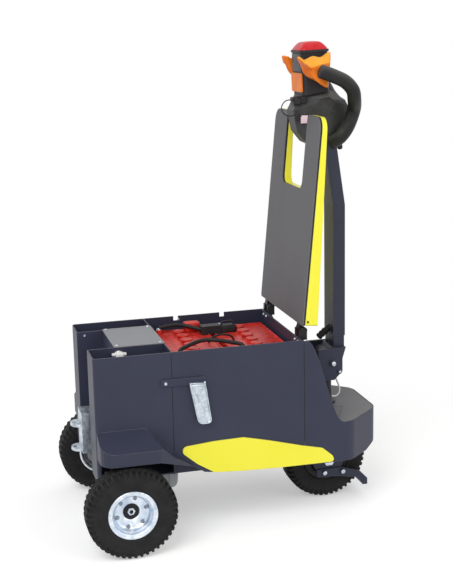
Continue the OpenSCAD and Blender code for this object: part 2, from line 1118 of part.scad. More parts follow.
module steer_axle() {
  reach = fork_inner + fork_t;
  color(zinc) {
    rod_y(steer_x, axle_z, steer_pin_r, -reach - cut, reach + cut);
    mirrored()
      translate([steer_x, -reach, axle_z])
        rotate([90, 0, 0])
          cylinder(r = axle_nut_r, h = axle_nut_t, $fn = 6);
  }
}

pivot_set = 15;
pivot_x = steer_x + pivot_set;
pivot_rise = 54;
pivot_z = clevis_z + pivot_rise;
pivot_r = 10;
clevis_inner = 52;
clevis_back = 30;
clevis_front = 47;
clevis_h = 99;
clevis_top = clevis_z + clevis_h;
clevis_cut = 26;
clevis_bolt_r = 7;
clevis_bolt_h = 5;
clevis_bolt_set = 22;
clevis_bolt_drop = 28;

module tiller_clevis() {
  outer = clevis_inner + clevis_t;
  cheek = [
    [steer_x - clevis_back, clevis_z],
    [steer_x + clevis_front - clevis_cut, clevis_z],
    [steer_x + clevis_front, clevis_z + clevis_cut],
    [steer_x + clevis_front, clevis_top],
    [steer_x - clevis_back, clevis_top]
  ];
  color(black) {
    block(
      [steer_x - clevis_back, -outer, clevis_z],
      [steer_x + clevis_front - clevis_cut, outer, clevis_z + clevis_t]
    );
    mirrored()
      side_profile(cheek, -outer, -clevis_inner);
    rod_y(pivot_x, pivot_z, pivot_r, -outer - clevis_t, outer + clevis_t);
    mirrored()
      rod_y(
        pivot_x + clevis_bolt_set, pivot_z - clevis_bolt_drop, clevis_bolt_r,
        -outer - clevis_bolt_h, cut - outer
      );
  }
}

// Foot guard: two bars beside the fork and a bar across behind the tyre
guard_bar_t = 6;
guard_back = 38;
guard_inset = 3;
guard_front = tyre_d / 2 - guard_inset;
guard_drop = 29;
guard_top_z = axle_z - guard_drop;
guard_bar_h = 65;
guard_foot_z = guard_top_z - guard_bar_h;
guard_shares = [
  [0.0, 1.0], [0.0, 0.662], [0.473, 0.554], [0.806, 0.4], [0.909, 0.0],
  [1.0, 0.0], [1.0, 0.308], [0.824, 0.738], [0.473, 1.0]
];
guard_cross_l = 15;
guard_cross_h = 20;
guard_bolt_r = 8;
guard_bolt_h = 5;
guard_bolt_shares = [[0.14, 0.84], [0.5, 0.82]];

module foot_guard() {
  outer = fork_inner + fork_t;
  low = [steer_x - guard_back, guard_foot_z];
  high = [steer_x + guard_front, guard_top_z];
  color(motor_grey) {
    mirrored() {
      side_profile(placed(guard_shares, low, high), -outer - guard_bar_t, -outer);
      for (bolt = placed(guard_bolt_shares, low, high))
        rod_y(bolt.x, bolt.y, guard_bolt_r, -outer - guard_bar_t - guard_bolt_h, cut - outer - guard_bar_t);
    }
    block(
      [high.x - guard_cross_l, -outer - guard_bar_t, low.y],
      [high.x, outer + guard_bar_t, low.y + guard_cross_h]
    );
  }
}

// Cable loop from the clevis to the foot of the column
cable_r = 4.5;
cable_y = 12;
cable_route = [[38, 0], [46, -18], [55, -42], [52, -60], [42, -68], [28.5, -67]];

module tiller_cable() {
  route = [for (p = cable_route) [steer_x + p.x, -cable_y, clevis_z + p.y]];
  color(white)
    tube_along(spline(route, 5), cable_r, [0, 1, 0], 12);
}

// Tiller mast: a box that stands upright and then bends towards the lid
mast_set = 43;
mast_x = steer_x + mast_set;
mast_rise = 44;
mast_low = pivot_z + mast_rise;
sleeve_rise = 35;
sleeve_low = mast_low + sleeve_rise;
sleeve_t = 2;
bend_drop = 275;
bend_z = hinge_z + lid_end * cos(lid_lean) - bend_drop;
neck_l = 205;
mast_high = bend_z + neck_l;
foot_r = 34;
foot_gap = 4;
foot_half = clevis_inner - foot_gap;

function mast_outline(low, grow) =
  let (
    half = mast_d / 2 + grow,
    shift = (mast_high - bend_z) * tan(tiller_bend)
  )
  [
    [mast_x - half, low],
    [mast_x + half, low],
    [mast_x + half, bend_z],
    [mast_x + half - shift, mast_high],
    [mast_x - half - shift, mast_high],
    [mast_x - half, bend_z]
  ];

module mast() {
  color(black)
    difference() {
      union() {
        side_profile(mast_outline(mast_low, -sleeve_t), sleeve_t - mast_w / 2, mast_w / 2 - sleeve_t);
        side_profile(mast_outline(sleeve_low, 0), -mast_w / 2, mast_w / 2);
      }
      in_head()
        drum_solid(drum_room_share);
    }
}

module mast_foot() {
  outline = [
    [pivot_x - foot_r, pivot_z],
    [pivot_x + foot_r, pivot_z],
    [mast_x + mast_d / 2, mast_low],
    [mast_x - mast_d / 2 - sleeve_t, mast_low]
  ];
  color(black)
    difference() {
      union() {
        side_profile(outline, -foot_half, foot_half);
        rod_y(pivot_x, pivot_z, foot_r, -foot_half, foot_half);
      }
      rod_y(pivot_x, pivot_z, pivot_r + running, -foot_half - cut, foot_half + cut);
    }
}

buffer_r = 11;
buffer_l = 46;
buffer_rise = 54;
buffer_z = mast_low + buffer_rise;
buffer_tilt = 50;

module tiller_buffer() {
  color(black)
    difference() {
      translate([mast_x - mast_d / 2, 0, buffer_z])
        rotate([0, buffer_tilt - half_turn, 0])
          cylinder(r = buffer_r, h = buffer_l);
      block([mast_x - mast_d / 2, -mast_w, mast_low], [mast_x + mast_d, mast_w, bend_z]);
    }
}

// Head: drawn in the frame of the bent mast, where z runs up the tiller from the bend
module in_head() {
  translate([mast_x, 0, bend_z])
    rotate([0, -tiller_bend, 0])
      children();
}

drum_front = -95;
drum_back = 73;
drum_low = 178.5;
drum_top = 339;
drum_half = 54;
drum_band = 30;
drum_hub = [6, 316];
drum_cap_share = 0.3;
drum_room_share = 1.004;
drum_shares = [
  [0, 0.757], [0.006, 0.539], [0.018, 0.371], [0.149, 0.14], [0.351, 0], [0.625, 0.059], [0.845, 0.321],
  [0.964, 0.52], [1, 0.664], [0.964, 0.776], [0.714, 1], [0.173, 1]
];

module drum_solid(grow_share) {
  outline = [
    for (p = placed(drum_shares, [drum_front, drum_low], [drum_back, drum_top])) (p - drum_hub) * grow_share
  ];
  translate([drum_hub.x, 0, drum_hub.y]) {
    side_profile(outline, -drum_band, drum_band);
    mirrored()
      translate([0, -drum_band, 0])
        rotate([90, 0, 0])
          linear_extrude((drum_half - drum_band) * grow_share, scale = drum_cap_share)
            polygon(outline);
  }
}

module control_drum() {
  color(black)
    in_head()
      drum_solid(1);
}

// Housing on the drum: it stands nearly upright, so it leans back from the tiller
housing_x = -15.5;
housing_z = 402;
housing_lean = 6;
housing_low = -75;
housing_high = 61;
housing_half_l = 41;
housing_half_w = 50;
housing_fold_r = 14;
collar_h = 7;
collar_out = 4;

module in_housing() {
  in_head()
    translate([housing_x, 0, housing_z])
      rotate([0, housing_lean, 0])
        children();
}

function head_plan(grow) = rounded_all(
  rectangle(
    [-housing_half_l - grow, -housing_half_w - grow],
    [housing_half_l + grow, housing_half_w + grow]
  ),
  housing_fold_r + grow
);

module head_housing() {
  reach = housing_half_l + housing_half_w;
  color(black)
    difference() {
      in_housing() {
        plan(head_plan(0), housing_low, housing_high);
        plan(head_plan(collar_out), housing_high - collar_h, housing_high);
      }
      in_head()
        block([housing_x - reach, -reach, drum_low], [housing_x + reach, reach, drum_top]);
    }
}

button_h = 23;
button_share = 0.62;

module safety_button() {
  color(red)
    in_housing()
      translate([0, 0, housing_high])
        linear_extrude(button_h, scale = button_share)
          polygon(head_plan(0));
}

// Throttles: a wing on each side, higher at the housing than at the grip
throttle_hub = [-4, 2];
throttle_t = 49;
throttle_gap = 8;
throttle_r = 14;
wing_size = 100;
wing_y = housing_half_w + throttle_gap + throttle_t;
wing_tip_y = 72;
wing_outer_shares = [
  [-0.45, 0.21], [-0.36, 0.125], [-0.23, 0.04], [-0.21, -0.14], [-0.17, -0.25], [0.067, -0.43],
  [0.18, -0.46], [0.175, -0.355], [0.23, -0.1], [0.26, 0.08], [0.27, 0.2], [0.18, 0.21],
  [0, 0.19], [-0.23, 0.125], [-0.34, 0.15], [-0.41, 0.22]
];
wing_tip_shares = [
  [-0.59, 0.4], [-0.5, 0.195], [-0.43, -0.01], [-0.31, -0.15], [-0.08, -0.275], [0.16, -0.45],
  [0.3, -0.485], [0.32, -0.38], [0.35, 0], [0.39, 0.2], [0.42, 0.48], [0.34, 0.51],
  [0.14, 0.45], [-0.1, 0.41], [-0.32, 0.375], [-0.51, 0.445]
];
wing_inner_shares = [
  [-0.48, 0.37], [-0.41, 0.18], [-0.36, -0.01], [-0.25, -0.15], [-0.03, -0.27], [0.18, -0.43],
  [0.3, -0.46], [0.34, -0.36], [0.36, 0], [0.4, 0.2], [0.46, 0.46], [0.36, 0.5],
  [0.14, 0.44], [-0.1, 0.4], [-0.3, 0.37], [-0.42, 0.41]
];

module throttle() {
  inner = housing_half_w + throttle_gap;
  far = throttle_hub + [wing_size, wing_size];
  wings = [
    [wing_outer_shares, -wing_y],
    [wing_tip_shares, -wing_tip_y],
    [wing_inner_shares, -inner]
  ];
  loft([
    for (ring = wings)
      [for (p = placed(ring[0], throttle_hub, far)) [p.x, ring[1], p.y]]
  ]);
  rod_y(throttle_hub.x, throttle_hub.y, throttle_r, -inner - cut, -housing_half_w);
}

module throttle_right() {
  color(orange)
    in_housing()
      throttle();
}

module throttle_left() {
  color(orange)
    in_housing()
      mirror([0, 1, 0])
        throttle();
}

// Grips: each leaves its throttle, turns back and runs down and in to the side of the mast
grip_r = 20;
grip_reach = grip_w / 2 - grip_r;
grip_front = -31;
grip_back = 78;
grip_low = 187;
grip_high = 409;
grip_steps = 4;
grip_sides = 14;
grip_shares = [
  [0, 1, 1], [0.379, 1, 0.895], [0.661, 0.992, 0.8], [0.851, 0.938, 0.676], [0.917, 0.813, 0.552],
  [0.986, 0.563, 0.418], [0.898, 0.461, 0.275], [0.748, 0.422, 0.153], [0.549, 0.391, 0.059], [0.342, 0.281, 0]
];
neck_r = 13;
neck_place = [-8, 397];

module loop_grips() {
  route = [
    for (p = grip_shares)
      [
        grip_front + p.x * (grip_back - grip_front),
        -p.y * grip_reach,
        grip_low + p.z * (grip_high - grip_low)
      ]
  ];
  color(black)
    in_head()
      mirrored() {
        difference() {
          tube_along(spline(route, grip_steps), grip_r, [0, 1, 0], grip_sides);
          block(
            [-drum_back, -mast_w / 2 - seat, drum_low - drum_half],
            [drum_back, mast_w / 2, drum_top]
          );
        }
        rod_y(neck_place.x, neck_place.y, neck_r, -grip_reach, -wing_y - seat);
      }
}

horn_half = 46;
horn_low = -58;
horn_high = -4;
horn_t = 4;
horn_r = 6;

module horn_button() {
  color(orange)
    in_housing()
      translate([-housing_half_l, 0, 0])
        rotate([90, 0, 90])
          mirror([0, 0, 1])
            linear_extrude(horn_t)
              polygon(rounded_all(rectangle([-horn_half, horn_low], [horn_half, horn_high]), horn_r));
}

// Key switch: a block on the shoulder of the drum with two round sockets on its near side
key_front = -92;
key_back = -58;
key_low = 316;
key_set = 1;
key_side = 36;
key_far = 8;
key_r = 9.5;
key_l = 8;
key_shares = [[0.3, 0.5], [0.88, 0.5]];

module key_switch() {
  high = drum_top - key_set;
  color(black)
    in_head()
      difference() {
        union() {
          block([key_front, -key_side, key_low], [key_back, -key_far, high]);
          for (p = placed(key_shares, [key_front, key_low], [key_back, high]))
            rod_y(p.x, p.y, key_r, -key_side - key_l, cut - key_side);
        }
        drum_solid(drum_room_share);
      }
}

chassis_pan();
tower_right();
tower_left();
recess_wall();
controller_cover();
bay_divider();
bay_panel_right();
bay_panel_left();
bay_end_wall();
lid_hinge_bases();
hood_shell();
hood_top();
side_plate_right();
side_plate_left();
battery_drive_end();
battery_tiller_end();
battery_leads();
battery_connector();
latch_base_right();
latch_base_left();
latch_right();
latch_left();
tow_bracket();
transaxle();
drive_motor();
steer_bearing();
charger_socket();
drive_tyre_right();
drive_rim_right();
drive_hub_right();
drive_tyre_left();
drive_rim_left();
drive_hub_left();
steer_tyre();
steer_rim();
lid_panel();
lid_seal();
lid_cover();
lid_hinge_straps();
steer_column();
steer_fork();
steer_axle();
tiller_clevis();
foot_guard();
tiller_cable();
mast();
mast_foot();
tiller_buffer();
head_housing();
control_drum();
loop_grips();
safety_button();
throttle_right();
throttle_left();
horn_button();
key_switch();
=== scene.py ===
import bpy, bmesh, json, math
from mathutils import Matrix, Vector


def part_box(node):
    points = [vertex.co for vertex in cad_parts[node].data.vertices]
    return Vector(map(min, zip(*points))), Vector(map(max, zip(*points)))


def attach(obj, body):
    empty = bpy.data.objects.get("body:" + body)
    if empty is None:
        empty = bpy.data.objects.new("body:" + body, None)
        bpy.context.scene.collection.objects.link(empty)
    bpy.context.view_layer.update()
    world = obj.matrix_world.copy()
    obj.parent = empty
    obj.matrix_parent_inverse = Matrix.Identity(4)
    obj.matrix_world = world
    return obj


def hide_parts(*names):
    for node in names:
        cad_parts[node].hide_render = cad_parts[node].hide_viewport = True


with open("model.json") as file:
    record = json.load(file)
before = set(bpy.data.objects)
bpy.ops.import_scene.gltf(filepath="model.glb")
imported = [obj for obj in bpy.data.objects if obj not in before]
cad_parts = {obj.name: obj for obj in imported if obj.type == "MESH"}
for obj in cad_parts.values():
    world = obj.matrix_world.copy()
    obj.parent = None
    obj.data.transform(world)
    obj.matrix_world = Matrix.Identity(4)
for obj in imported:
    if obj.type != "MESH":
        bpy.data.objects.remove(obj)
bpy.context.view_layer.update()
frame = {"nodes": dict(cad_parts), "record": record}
nodes = frame["nodes"]
scene = bpy.context.scene
scene.view_settings.view_transform = "Standard"
mm = 0.001
# right and left, as signs of y
bothSides = (-1, 1)

# camera, worked out from the photo's vanishing lines and the 260 mm tyres; focal and imageHeight are in pixels
shot = {"place": (-0.8699, -3.4265, 1.4786), "yaw": 14.645, "pitch": 12.828, "roll": -1.242,
        "focal": 1217.13, "imageHeight": 584, "sensor": 24.0, "clip": 100}

def makeCamera():
    yaw, pitch, roll = (math.radians(shot[k]) for k in ("yaw", "pitch", "roll"))
    ahead = Vector((math.sin(yaw) * math.cos(pitch), math.cos(yaw) * math.cos(pitch), -math.sin(pitch)))
    side = Vector((math.cos(yaw), -math.sin(yaw), 0))
    up = side.cross(ahead)
    right = math.cos(roll) * side + math.sin(roll) * up
    top = -math.sin(roll) * side + math.cos(roll) * up
    data = bpy.data.cameras.new("photoCamera")
    data.sensor_fit = "VERTICAL"
    data.sensor_height = shot["sensor"]
    data.lens = shot["focal"] * shot["sensor"] / shot["imageHeight"]
    data.clip_end = shot["clip"]
    cam = bpy.data.objects.new("photoCamera", data)
    cam.matrix_world = Matrix((
        (right.x, top.x, -ahead.x, shot["place"][0]),
        (right.y, top.y, -ahead.y, shot["place"][1]),
        (right.z, top.z, -ahead.z, shot["place"][2]),
        (0, 0, 0, 1)))
    scene.collection.objects.link(cam)
    scene.camera = cam

makeCamera()
print("camera set")

def hexColour(code):
    parts = [int(code[i:i + 2], 16) / 255 for i in (1, 3, 5)]
    return [c / 12.92 if c <= 0.04045 else ((c + 0.055) / 1.055) ** 2.4 for c in parts] + [1]

def addNode(tree, kind, settings=None, links=None):
    made = tree.nodes.new(kind)
    for key, value in (settings or {}).items():
        if isinstance(key, str) and hasattr(made, key):
            setattr(made, key, value)
        else:
            made.inputs[key].default_value = value
    for key, source in (links or {}).items():
        tree.links.new(source, made.inputs[key])
    return made

def newMaterial(name):
    mat = bpy.data.materials.new(name)
    mat.use_nodes = True
    tree = mat.node_tree
    return mat, tree, tree.nodes["Principled BSDF"]

def wireShader(tree, shader, colour, rough, normal, plain):
    for socket, source in (("Base Color", colour), ("Roughness", rough), ("Normal", normal)):
        tree.links.new(source, shader.inputs[socket])
    for socket, value in plain.items():
        shader.inputs[socket].default_value = value

# every finish takes its pattern from object coordinates in metres, so a size in mm gives the scale
def perMm(size):
    return 1 / (size * mm)

# a wave texture of scale 1 repeats every 2 pi / 20 of a unit
waveUnit = math.pi / 10
# sockets of a colour mix, which share their names with those of other mixes
mixShare, mixLow, mixHigh, mixOut = 0, 6, 7, 2
# how far the roughness of a finish strays from its middle value, and how strongly paint and plastic shine
coatStray, plateStray = (-0.06, 0.1), (-0.08, 0.14)
softShine = 0.25

def coordOf(tree):
    return addNode(tree, "ShaderNodeTexCoord").outputs["Object"]

def noiseOf(tree, coord, size, settings):
    made = addNode(tree, "ShaderNodeTexNoise", {"Scale": perMm(size), **settings}, {"Vector": coord})
    return made.outputs["Fac"]

def mixOf(tree, share, low, high):
    return addNode(tree, "ShaderNodeMix", {"data_type": "RGBA", mixLow: hexColour(low), mixHigh: hexColour(high)},
                   {mixShare: share}).outputs[mixOut]

def glossOf(tree, source, rough, stray):
    return addNode(tree, "ShaderNodeMapRange", {"To Min": rough + stray[0], "To Max": rough + stray[1]},
                   {"Value": source}).outputs["Result"]

def bumpOf(tree, height, fold, depth, step):
    return addNode(tree, "ShaderNodeBump", {"Strength": depth, "Distance": step * mm},
                   {"Height": height, "Normal": fold}).outputs["Normal"]

# a normal that runs round every edge with this radius in mm
def foldOf(tree, edge):
    return addNode(tree, "ShaderNodeBevel", {"samples": 4, "Radius": edge * mm}).outputs["Normal"]

# powder coat on folded steel: satin, slightly uneven, worn a little paler where an edge is touched
# the real peel is about 1 mm across and is drawn at 3 mm so that it shows in the render
def powderCoat(name, low, high, worn, rough, peel=3.0, depth=0.16, edge=1.6, patch=150):
    mat, tree, shader = newMaterial(name)
    coord = coordOf(tree)
    tint = mixOf(tree, noiseOf(tree, coord, patch, {"Detail": 5, "Roughness": 0.6}), low, high)
    grit = noiseOf(tree, coord, peel, {"Detail": 3})
    fold = foldOf(tree, edge)
    flat = addNode(tree, "ShaderNodeNewGeometry").outputs["Normal"]
    match = addNode(tree, "ShaderNodeVectorMath", {"operation": "DOT_PRODUCT"}, {0: fold, 1: flat})
    touched = addNode(tree, "ShaderNodeMapRange", {"From Min": 0.97, "From Max": 0.75, "To Max": 0.8},
                      {"Value": match.outputs["Value"]})
    colour = addNode(tree, "ShaderNodeMix", {"data_type": "RGBA", mixHigh: hexColour(worn)},
                     {mixShare: touched.outputs["Result"], mixLow: tint}).outputs[mixOut]
    wireShader(tree, shader, colour, glossOf(tree, grit, rough, coatStray),
               bumpOf(tree, grit, fold, depth, step=0.4), {"IOR": 1.5, "Specular IOR Level": softShine})
    return mat

# zinc plate, blue passivated: a bright grey metal with faint clouds from the bath, and spangles
def zincPlate(name, low, high, rough, bath, grain=4, edge=1.0):
    mat, tree, shader = newMaterial(name)
    coord = coordOf(tree)
    cloud = noiseOf(tree, coord, bath, {"Detail": 6, "Distortion": 1.2})
    spangle = addNode(tree, "ShaderNodeTexVoronoi", {"Scale": perMm(grain)}, {"Vector": coord})
    spread = addNode(tree, "ShaderNodeMapRange", {"From Min": 0.35, "From Max": 0.68}, {"Value": cloud})
    wireShader(tree, shader, mixOf(tree, spread.outputs["Result"], low, high),
               glossOf(tree, cloud, rough, plateStray),
               bumpOf(tree, spangle.outputs["Distance"], foldOf(tree, edge), depth=0.08, step=0.3),
               {"Metallic": 1.0})
    return mat

# moulded plastics and rubbers: one colour all through and a fine spark-eroded grain from the mould
# the optional top colour is mixed onto sides facing up as painted top light, rib the pitch in mm of fine ribs cut
# in the mould
def moulded(name, low, high, rough, grain, depth, edge=0.8, ior=1.49, patch=60, paintedTopLight=None, rib=0):
    mat, tree, shader = newMaterial(name)
    coord = coordOf(tree)
    cloud = noiseOf(tree, coord, patch, {"Detail": 5, "Roughness": 0.65})
    spread = addNode(tree, "ShaderNodeMapRange", {"From Min": 0.35, "From Max": 0.7}, {"Value": cloud})
    colour = mixOf(tree, spread.outputs["Result"], low, high)
    # painted top light: sides facing up are mixed towards a paler colour
    if paintedTopLight:
        normal = addNode(tree, "ShaderNodeTexCoord").outputs["Normal"]
        facing = addNode(tree, "ShaderNodeSeparateXYZ", {}, {0: normal})
        topLightShare = addNode(tree, "ShaderNodeMapRange", {"From Min": 0.25, "From Max": 0.85, "To Max": 0.9},
                        {"Value": facing.outputs["Z"]})
        colour = addNode(tree, "ShaderNodeMix", {"data_type": "RGBA", mixHigh: hexColour(paintedTopLight)},
                         {mixShare: topLightShare.outputs["Result"], mixLow: colour}).outputs[mixOut]
    grit = noiseOf(tree, coord, grain, {"Detail": 4})
    height = grit
    if rib:
        height = addNode(tree, "ShaderNodeTexWave", {"bands_direction": "X", "Scale": perMm(rib) * waveUnit},
                         {"Vector": coord}).outputs["Fac"]
    wireShader(tree, shader, colour, glossOf(tree, grit, rough, coatStray),
               bumpOf(tree, height, foldOf(tree, edge), depth, step=0.5),
               {"IOR": ior, "Specular IOR Level": softShine})
    return mat

finishes = {
    # anthracite powder coat baked on the body sheets, blue in the shade
    "body_paint": powderCoat("anthracitePowderCoat", "#2f3243", "#3a3d50", "#85848a", rough=0.42, edge=2.0),
    # fine structure paint sprayed inside the lid, grey and nearly matt
    "top_paint": powderCoat("greyStructurePaint", "#5d5d60", "#6b6b6f", "#8f8f92", rough=0.58, peel=2.4,
                            depth=0.30),
    # yellow powder coat, brighter and glossier than the grey
    "yellow_paint": powderCoat("yellowPowderCoat", "#f4ec38", "#fbf450", "#fff9a0", rough=0.34, peel=4.0,
                               depth=0.08),
    # steel zinc plated in a bath: tow jaw, latch levers and screws
    "zinc_plate": zincPlate("zincPlatedSteel", "#aab6c2", "#e3e9ee", rough=0.36, bath=22),
    # black enamel brushed on the hinges, hubs and steering column
    "black_steel": powderCoat("blackEnamel", "#17171a", "#222226", "#4a4a4e", rough=0.42, depth=0.2),
    # grey paint over the sand-cast transaxle, which stays rough under it
    "cast_grey": powderCoat("paintedSandCasting", "#888c92", "#9b9fa4", "#b4b7ba", rough=0.50, peel=5.0,
                            depth=0.55),
    # black rubber vulcanised in the tyre mould, dusty in patches
    "tyre_rubber": moulded("vulcanisedTyreRubber", "#141415", "#252424", rough=0.72, grain=2.5, depth=0.35,
                           ior=1.52, patch=40),
    # pressed and plated wheel disc, brighter than the plated brackets
    "wheel_rim": zincPlate("platedWheelPressing", "#bccadb", "#f1f4f7", rough=0.40, bath=38),
    # black ABS of the head and the connectors, injection moulded
    "black_plastic": moulded("mouldedBlackAbs", "#242427", "#333336", rough=0.48, grain=2.2, depth=0.30),
    # orange nylon of the throttles and the horn button, with painted top light: paler where it faces up
    "orange_plastic": moulded("mouldedOrangeNylon", "#e2690f", "#f58a24", rough=0.38, grain=3.0, depth=0.18,
                              paintedTopLight="#fbb63c"),
    # red ABS of the safety button, moulded smooth
    "red_plastic": moulded("mouldedRedAbs", "#c81f2a", "#e2343c", rough=0.30, grain=4.0, depth=0.06),
    # white PVC of the tiller cable's sheath and the charger connector
    "white_plastic": moulded("mouldedWhitePvc", "#efefed", "#fafaf8", rough=0.40, grain=3.0, depth=0.10),
    # red polypropylene of the battery cases, moulded and uneven in small patches
    "battery_case": moulded("mouldedRedPolypropylene", "#b81c16", "#f04a3c", rough=0.36, grain=3.5, depth=0.30,
                            edge=1.2, patch=16),
    # soft black rubber, moulded or extruded: buffer, leads and lid seal, and the seam strips of painted shade
    "soft_rubber": moulded("softBlackRubber", "#1b1b1d", "#2b2b2d", rough=0.50, grain=1.8, depth=0.22),
    # plain grey ABS of the panel on the head, a shade paler than the housing
    "greyPanel": moulded("mouldedGreyAbs", "#4b4b4e", "#5e5e61", rough=0.46, grain=2.2, depth=0.25),
    # pale pink card of the key tag, laminated and a little glossy
    "keyTag": moulded("laminatedPinkCard", "#d9b9c4", "#ecd5dc", rough=0.35, grain=3.0, depth=0.06),
    # smooth grey paint of the controller cover, paler and flatter than the lid
    "coverSheet": powderCoat("paleGreyPaint", "#86878b", "#949599", "#b5b5b8", rough=0.5, depth=0.12),
    # smooth grey paint of the flat end over the steered wheel, between the two in shade
    "endSheet": powderCoat("smoothGreyPaint", "#6a6a6e", "#787779", "#9a9a9c", rough=0.52),
    # charcoal ABS of the round base of the head, with fine ribs and painted top light: paler where it faces up
    "drum": moulded("ribbedCharcoalAbs", "#303031", "#434344", rough=0.46, grain=2.2, depth=0.6,
                    paintedTopLight="#6b6a66", rib=6),
    # rubber of the hand grips, with a painted highlight: paler where it faces up
    "grip": moulded("gripRubberPaintedHighlight", "#1c1c1d", "#2a2a2b", rough=0.44, grain=1.8, depth=0.22, paintedTopLight="#54544f"),
    # plain steel bolts, greyer than the plated parts
    "boltSteel": zincPlate("plainSteelBolts", "#717c88", "#aab3bd", rough=0.38, bath=9),
    # grey paint sprayed on the motor can, set paler than the transaxle: painted light that stands in for light
    # bounced up from the floor
    "motorCan": powderCoat("greyMotorPaintPaintedBounceLight", "#a9adb3", "#bdc0c4", "#cfd1d3", rough=0.4, peel=4.0,
                           depth=0.12),
}
slotOf = {part["node"]: part["material_slot"] for part in frame["record"]["subparts"]}
ownFinish = {"controller_cover": "coverSheet", "hood_top": "endSheet", "control_drum": "drum"}
for nodeName, cadObject in nodes.items():
    cadObject.data.materials.clear()
    cadObject.data.materials.append(finishes[ownFinish.get(nodeName, slotOf[nodeName])])
print("finishes made and laid on", len(nodes), "nodes")

def at(x, y, z):
    return Vector((x, y, z)) * mm

# points closer than this become one, so that drawn-together corners leave no empty faces
weld = 0.001 * mm

def placePiece(piece, body, nodesReplaced):
    scene.collection.objects.link(piece)
    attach(piece, body)
    if nodesReplaced:
        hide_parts(*nodesReplaced)

# shape is a list of points and a list of faces; edges sharper than angle stay crisp
def addPiece(name, shape, body, slotName, finish=None, angle=35, nodesReplaced=()):
    mesh = bpy.data.meshes.new(name)
    verts, faces = shape
    mesh.from_pydata([tuple(v) for v in verts], [], faces)
    made = bmesh.new()
    made.from_mesh(mesh)
    bmesh.ops.remove_doubles(made, verts=made.verts, dist=weld)
    bmesh.ops.recalc_face_normals(made, faces=made.faces)
    made.to_mesh(mesh)
    made.free()
    mesh.polygons.foreach_set("use_smooth", [True] * len(mesh.polygons))
    mesh.set_sharp_from_angle(angle=math.radians(angle))
    mesh.materials.append(finishes[finish or slotName])
    placePiece(bpy.data.objects.new(name, mesh), body, nodesReplaced)

def joined(parts):
    verts, faces = [], []
    for v, f in parts:
        start = len(verts)
        verts += v
        faces += [tuple(i + start for i in face) for face in f]
    return verts, faces

def turnsOf(count, first=0.0):
    return [first + 2 * math.pi * k / count for k in range(count)]

def axesOf(axis):
    along = Vector(axis).normalized()
    one = along.orthogonal().normalized()
    return along, one, along.cross(one)

# skin over a ring of sections that have count points each
def ringFaces(steps, count, closed=True):
    faces = []
    for k in range(steps):
        a, b = k * count, (k + 1) % steps * count
        for i in range(count if closed else count - 1):
            j = (i + 1) % count
            faces.append((a + i, a + j, b + j, b + i))
    return faces

# turns (radius, offset) points in metres about an axis through place
def spun(profile, steps, place, axis, closed=True):
    along, one, two = axesOf(axis)
    verts = [Vector(place) + along * w + (one * math.cos(t) + two * math.sin(t)) * r
             for t in turnsOf(steps) for r, w in profile]
    return verts, ringFaces(steps, len(profile), closed)

# closed outlines with the same number of points, capped at both ends
def lofted(rings):
    count = len(rings[0])
    verts = [p for ring in rings for p in ring]
    faces = []
    for i in range(len(rings) - 1):
        for k in range(count):
            m = (k + 1) % count
            faces.append((i * count + k, i * count + m, (i + 1) * count + m, (i + 1) * count + k))
    faces.append(tuple(range(count - 1, -1, -1)))
    faces.append(tuple((len(rings) - 1) * count + k for k in range(count)))
    return verts, faces

# a closed stack of (radius, offset) rings in mm, for heads, knobs, nuts and pads
def lathed(rings, sides, place, axis, turn=0.0):
    along, one, two = axesOf(axis)
    return lofted([[place + (along * w + (one * math.cos(t) + two * math.sin(t)) * r) * mm
                    for t in turnsOf(sides, turn)] for r, w in rings])

# a round tube whose ring never twists, closed at both ends
def tubeMesh(path, radii, sides):
    rings = []
    away = (path[1] - path[0]).normalized().orthogonal()
    for i, p in enumerate(path):
        ahead = (path[min(i + 1, len(path) - 1)] - path[max(i - 1, 0)]).normalized()
        away = (away - ahead * away.dot(ahead)).normalized()
        across = ahead.cross(away)
        rings.append([p + radii[i] * (math.cos(t) * away + math.sin(t) * across) for t in turnsOf(sides)])
    return lofted(rings)

# a smooth way from b to c that takes its slopes from a and d
def between(a, b, c, d, t):
    return 0.5 * (2 * b + (c - a) * t + (2 * a - 5 * b + 4 * c - d) * t * t
                  + (3 * b - a - 3 * c + d) * t ** 3)

def splinePoints(points, steps):
    pts = [Vector(p) for p in points]
    padded = [2 * pts[0] - pts[1]] + pts + [2 * pts[-1] - pts[-2]]
    return [between(*padded[i:i + 4], k / steps) for i in range(len(pts) - 1) for k in range(steps)] + [pts[-1]]

def closedSpline(points, steps):
    pts = [Vector(p) for p in points]
    return [between(*(pts[(i + n) % len(pts)] for n in (-1, 0, 1, 2)), k / steps)
            for i in range(len(pts)) for k in range(steps)]

# corner centre and direction of each point round a rectangle with rounded corners
def cornerTurns(x0, y0, x1, y1, r, steps):
    for cx, cy, start in ((x1 - r, y1 - r, 0), (x0 + r, y1 - r, 90),
                          (x0 + r, y0 + r, 180), (x1 - r, y0 + r, 270)):
        for k in range(steps + 1):
            t = math.radians(start + 90 * k / steps)
            yield cx, cy, math.cos(t), math.sin(t)

# a block with every edge rounded, placed by a function from its own frame
# chamfer is the share of the radius at the ring halfway round an edge
block = {"steps": 4, "chamfer": 0.3}

def roundedBox(low, high, r, toWorld):
    (x0, y0, z0), (x1, y1, z1) = low, high
    cut = block["chamfer"] * r
    rings = []
    for z, inset in ((z0, r), (z0 + cut, cut), (z0 + r, 0), (z1 - r, 0), (z1 - cut, cut), (z1, r)):
        rings.append([toWorld(cx + (r - inset) * c, cy + (r - inset) * s, z)
                      for cx, cy, c, s in cornerTurns(x0, y0, x1, y1, r, block["steps"])])
    return lofted(rings)

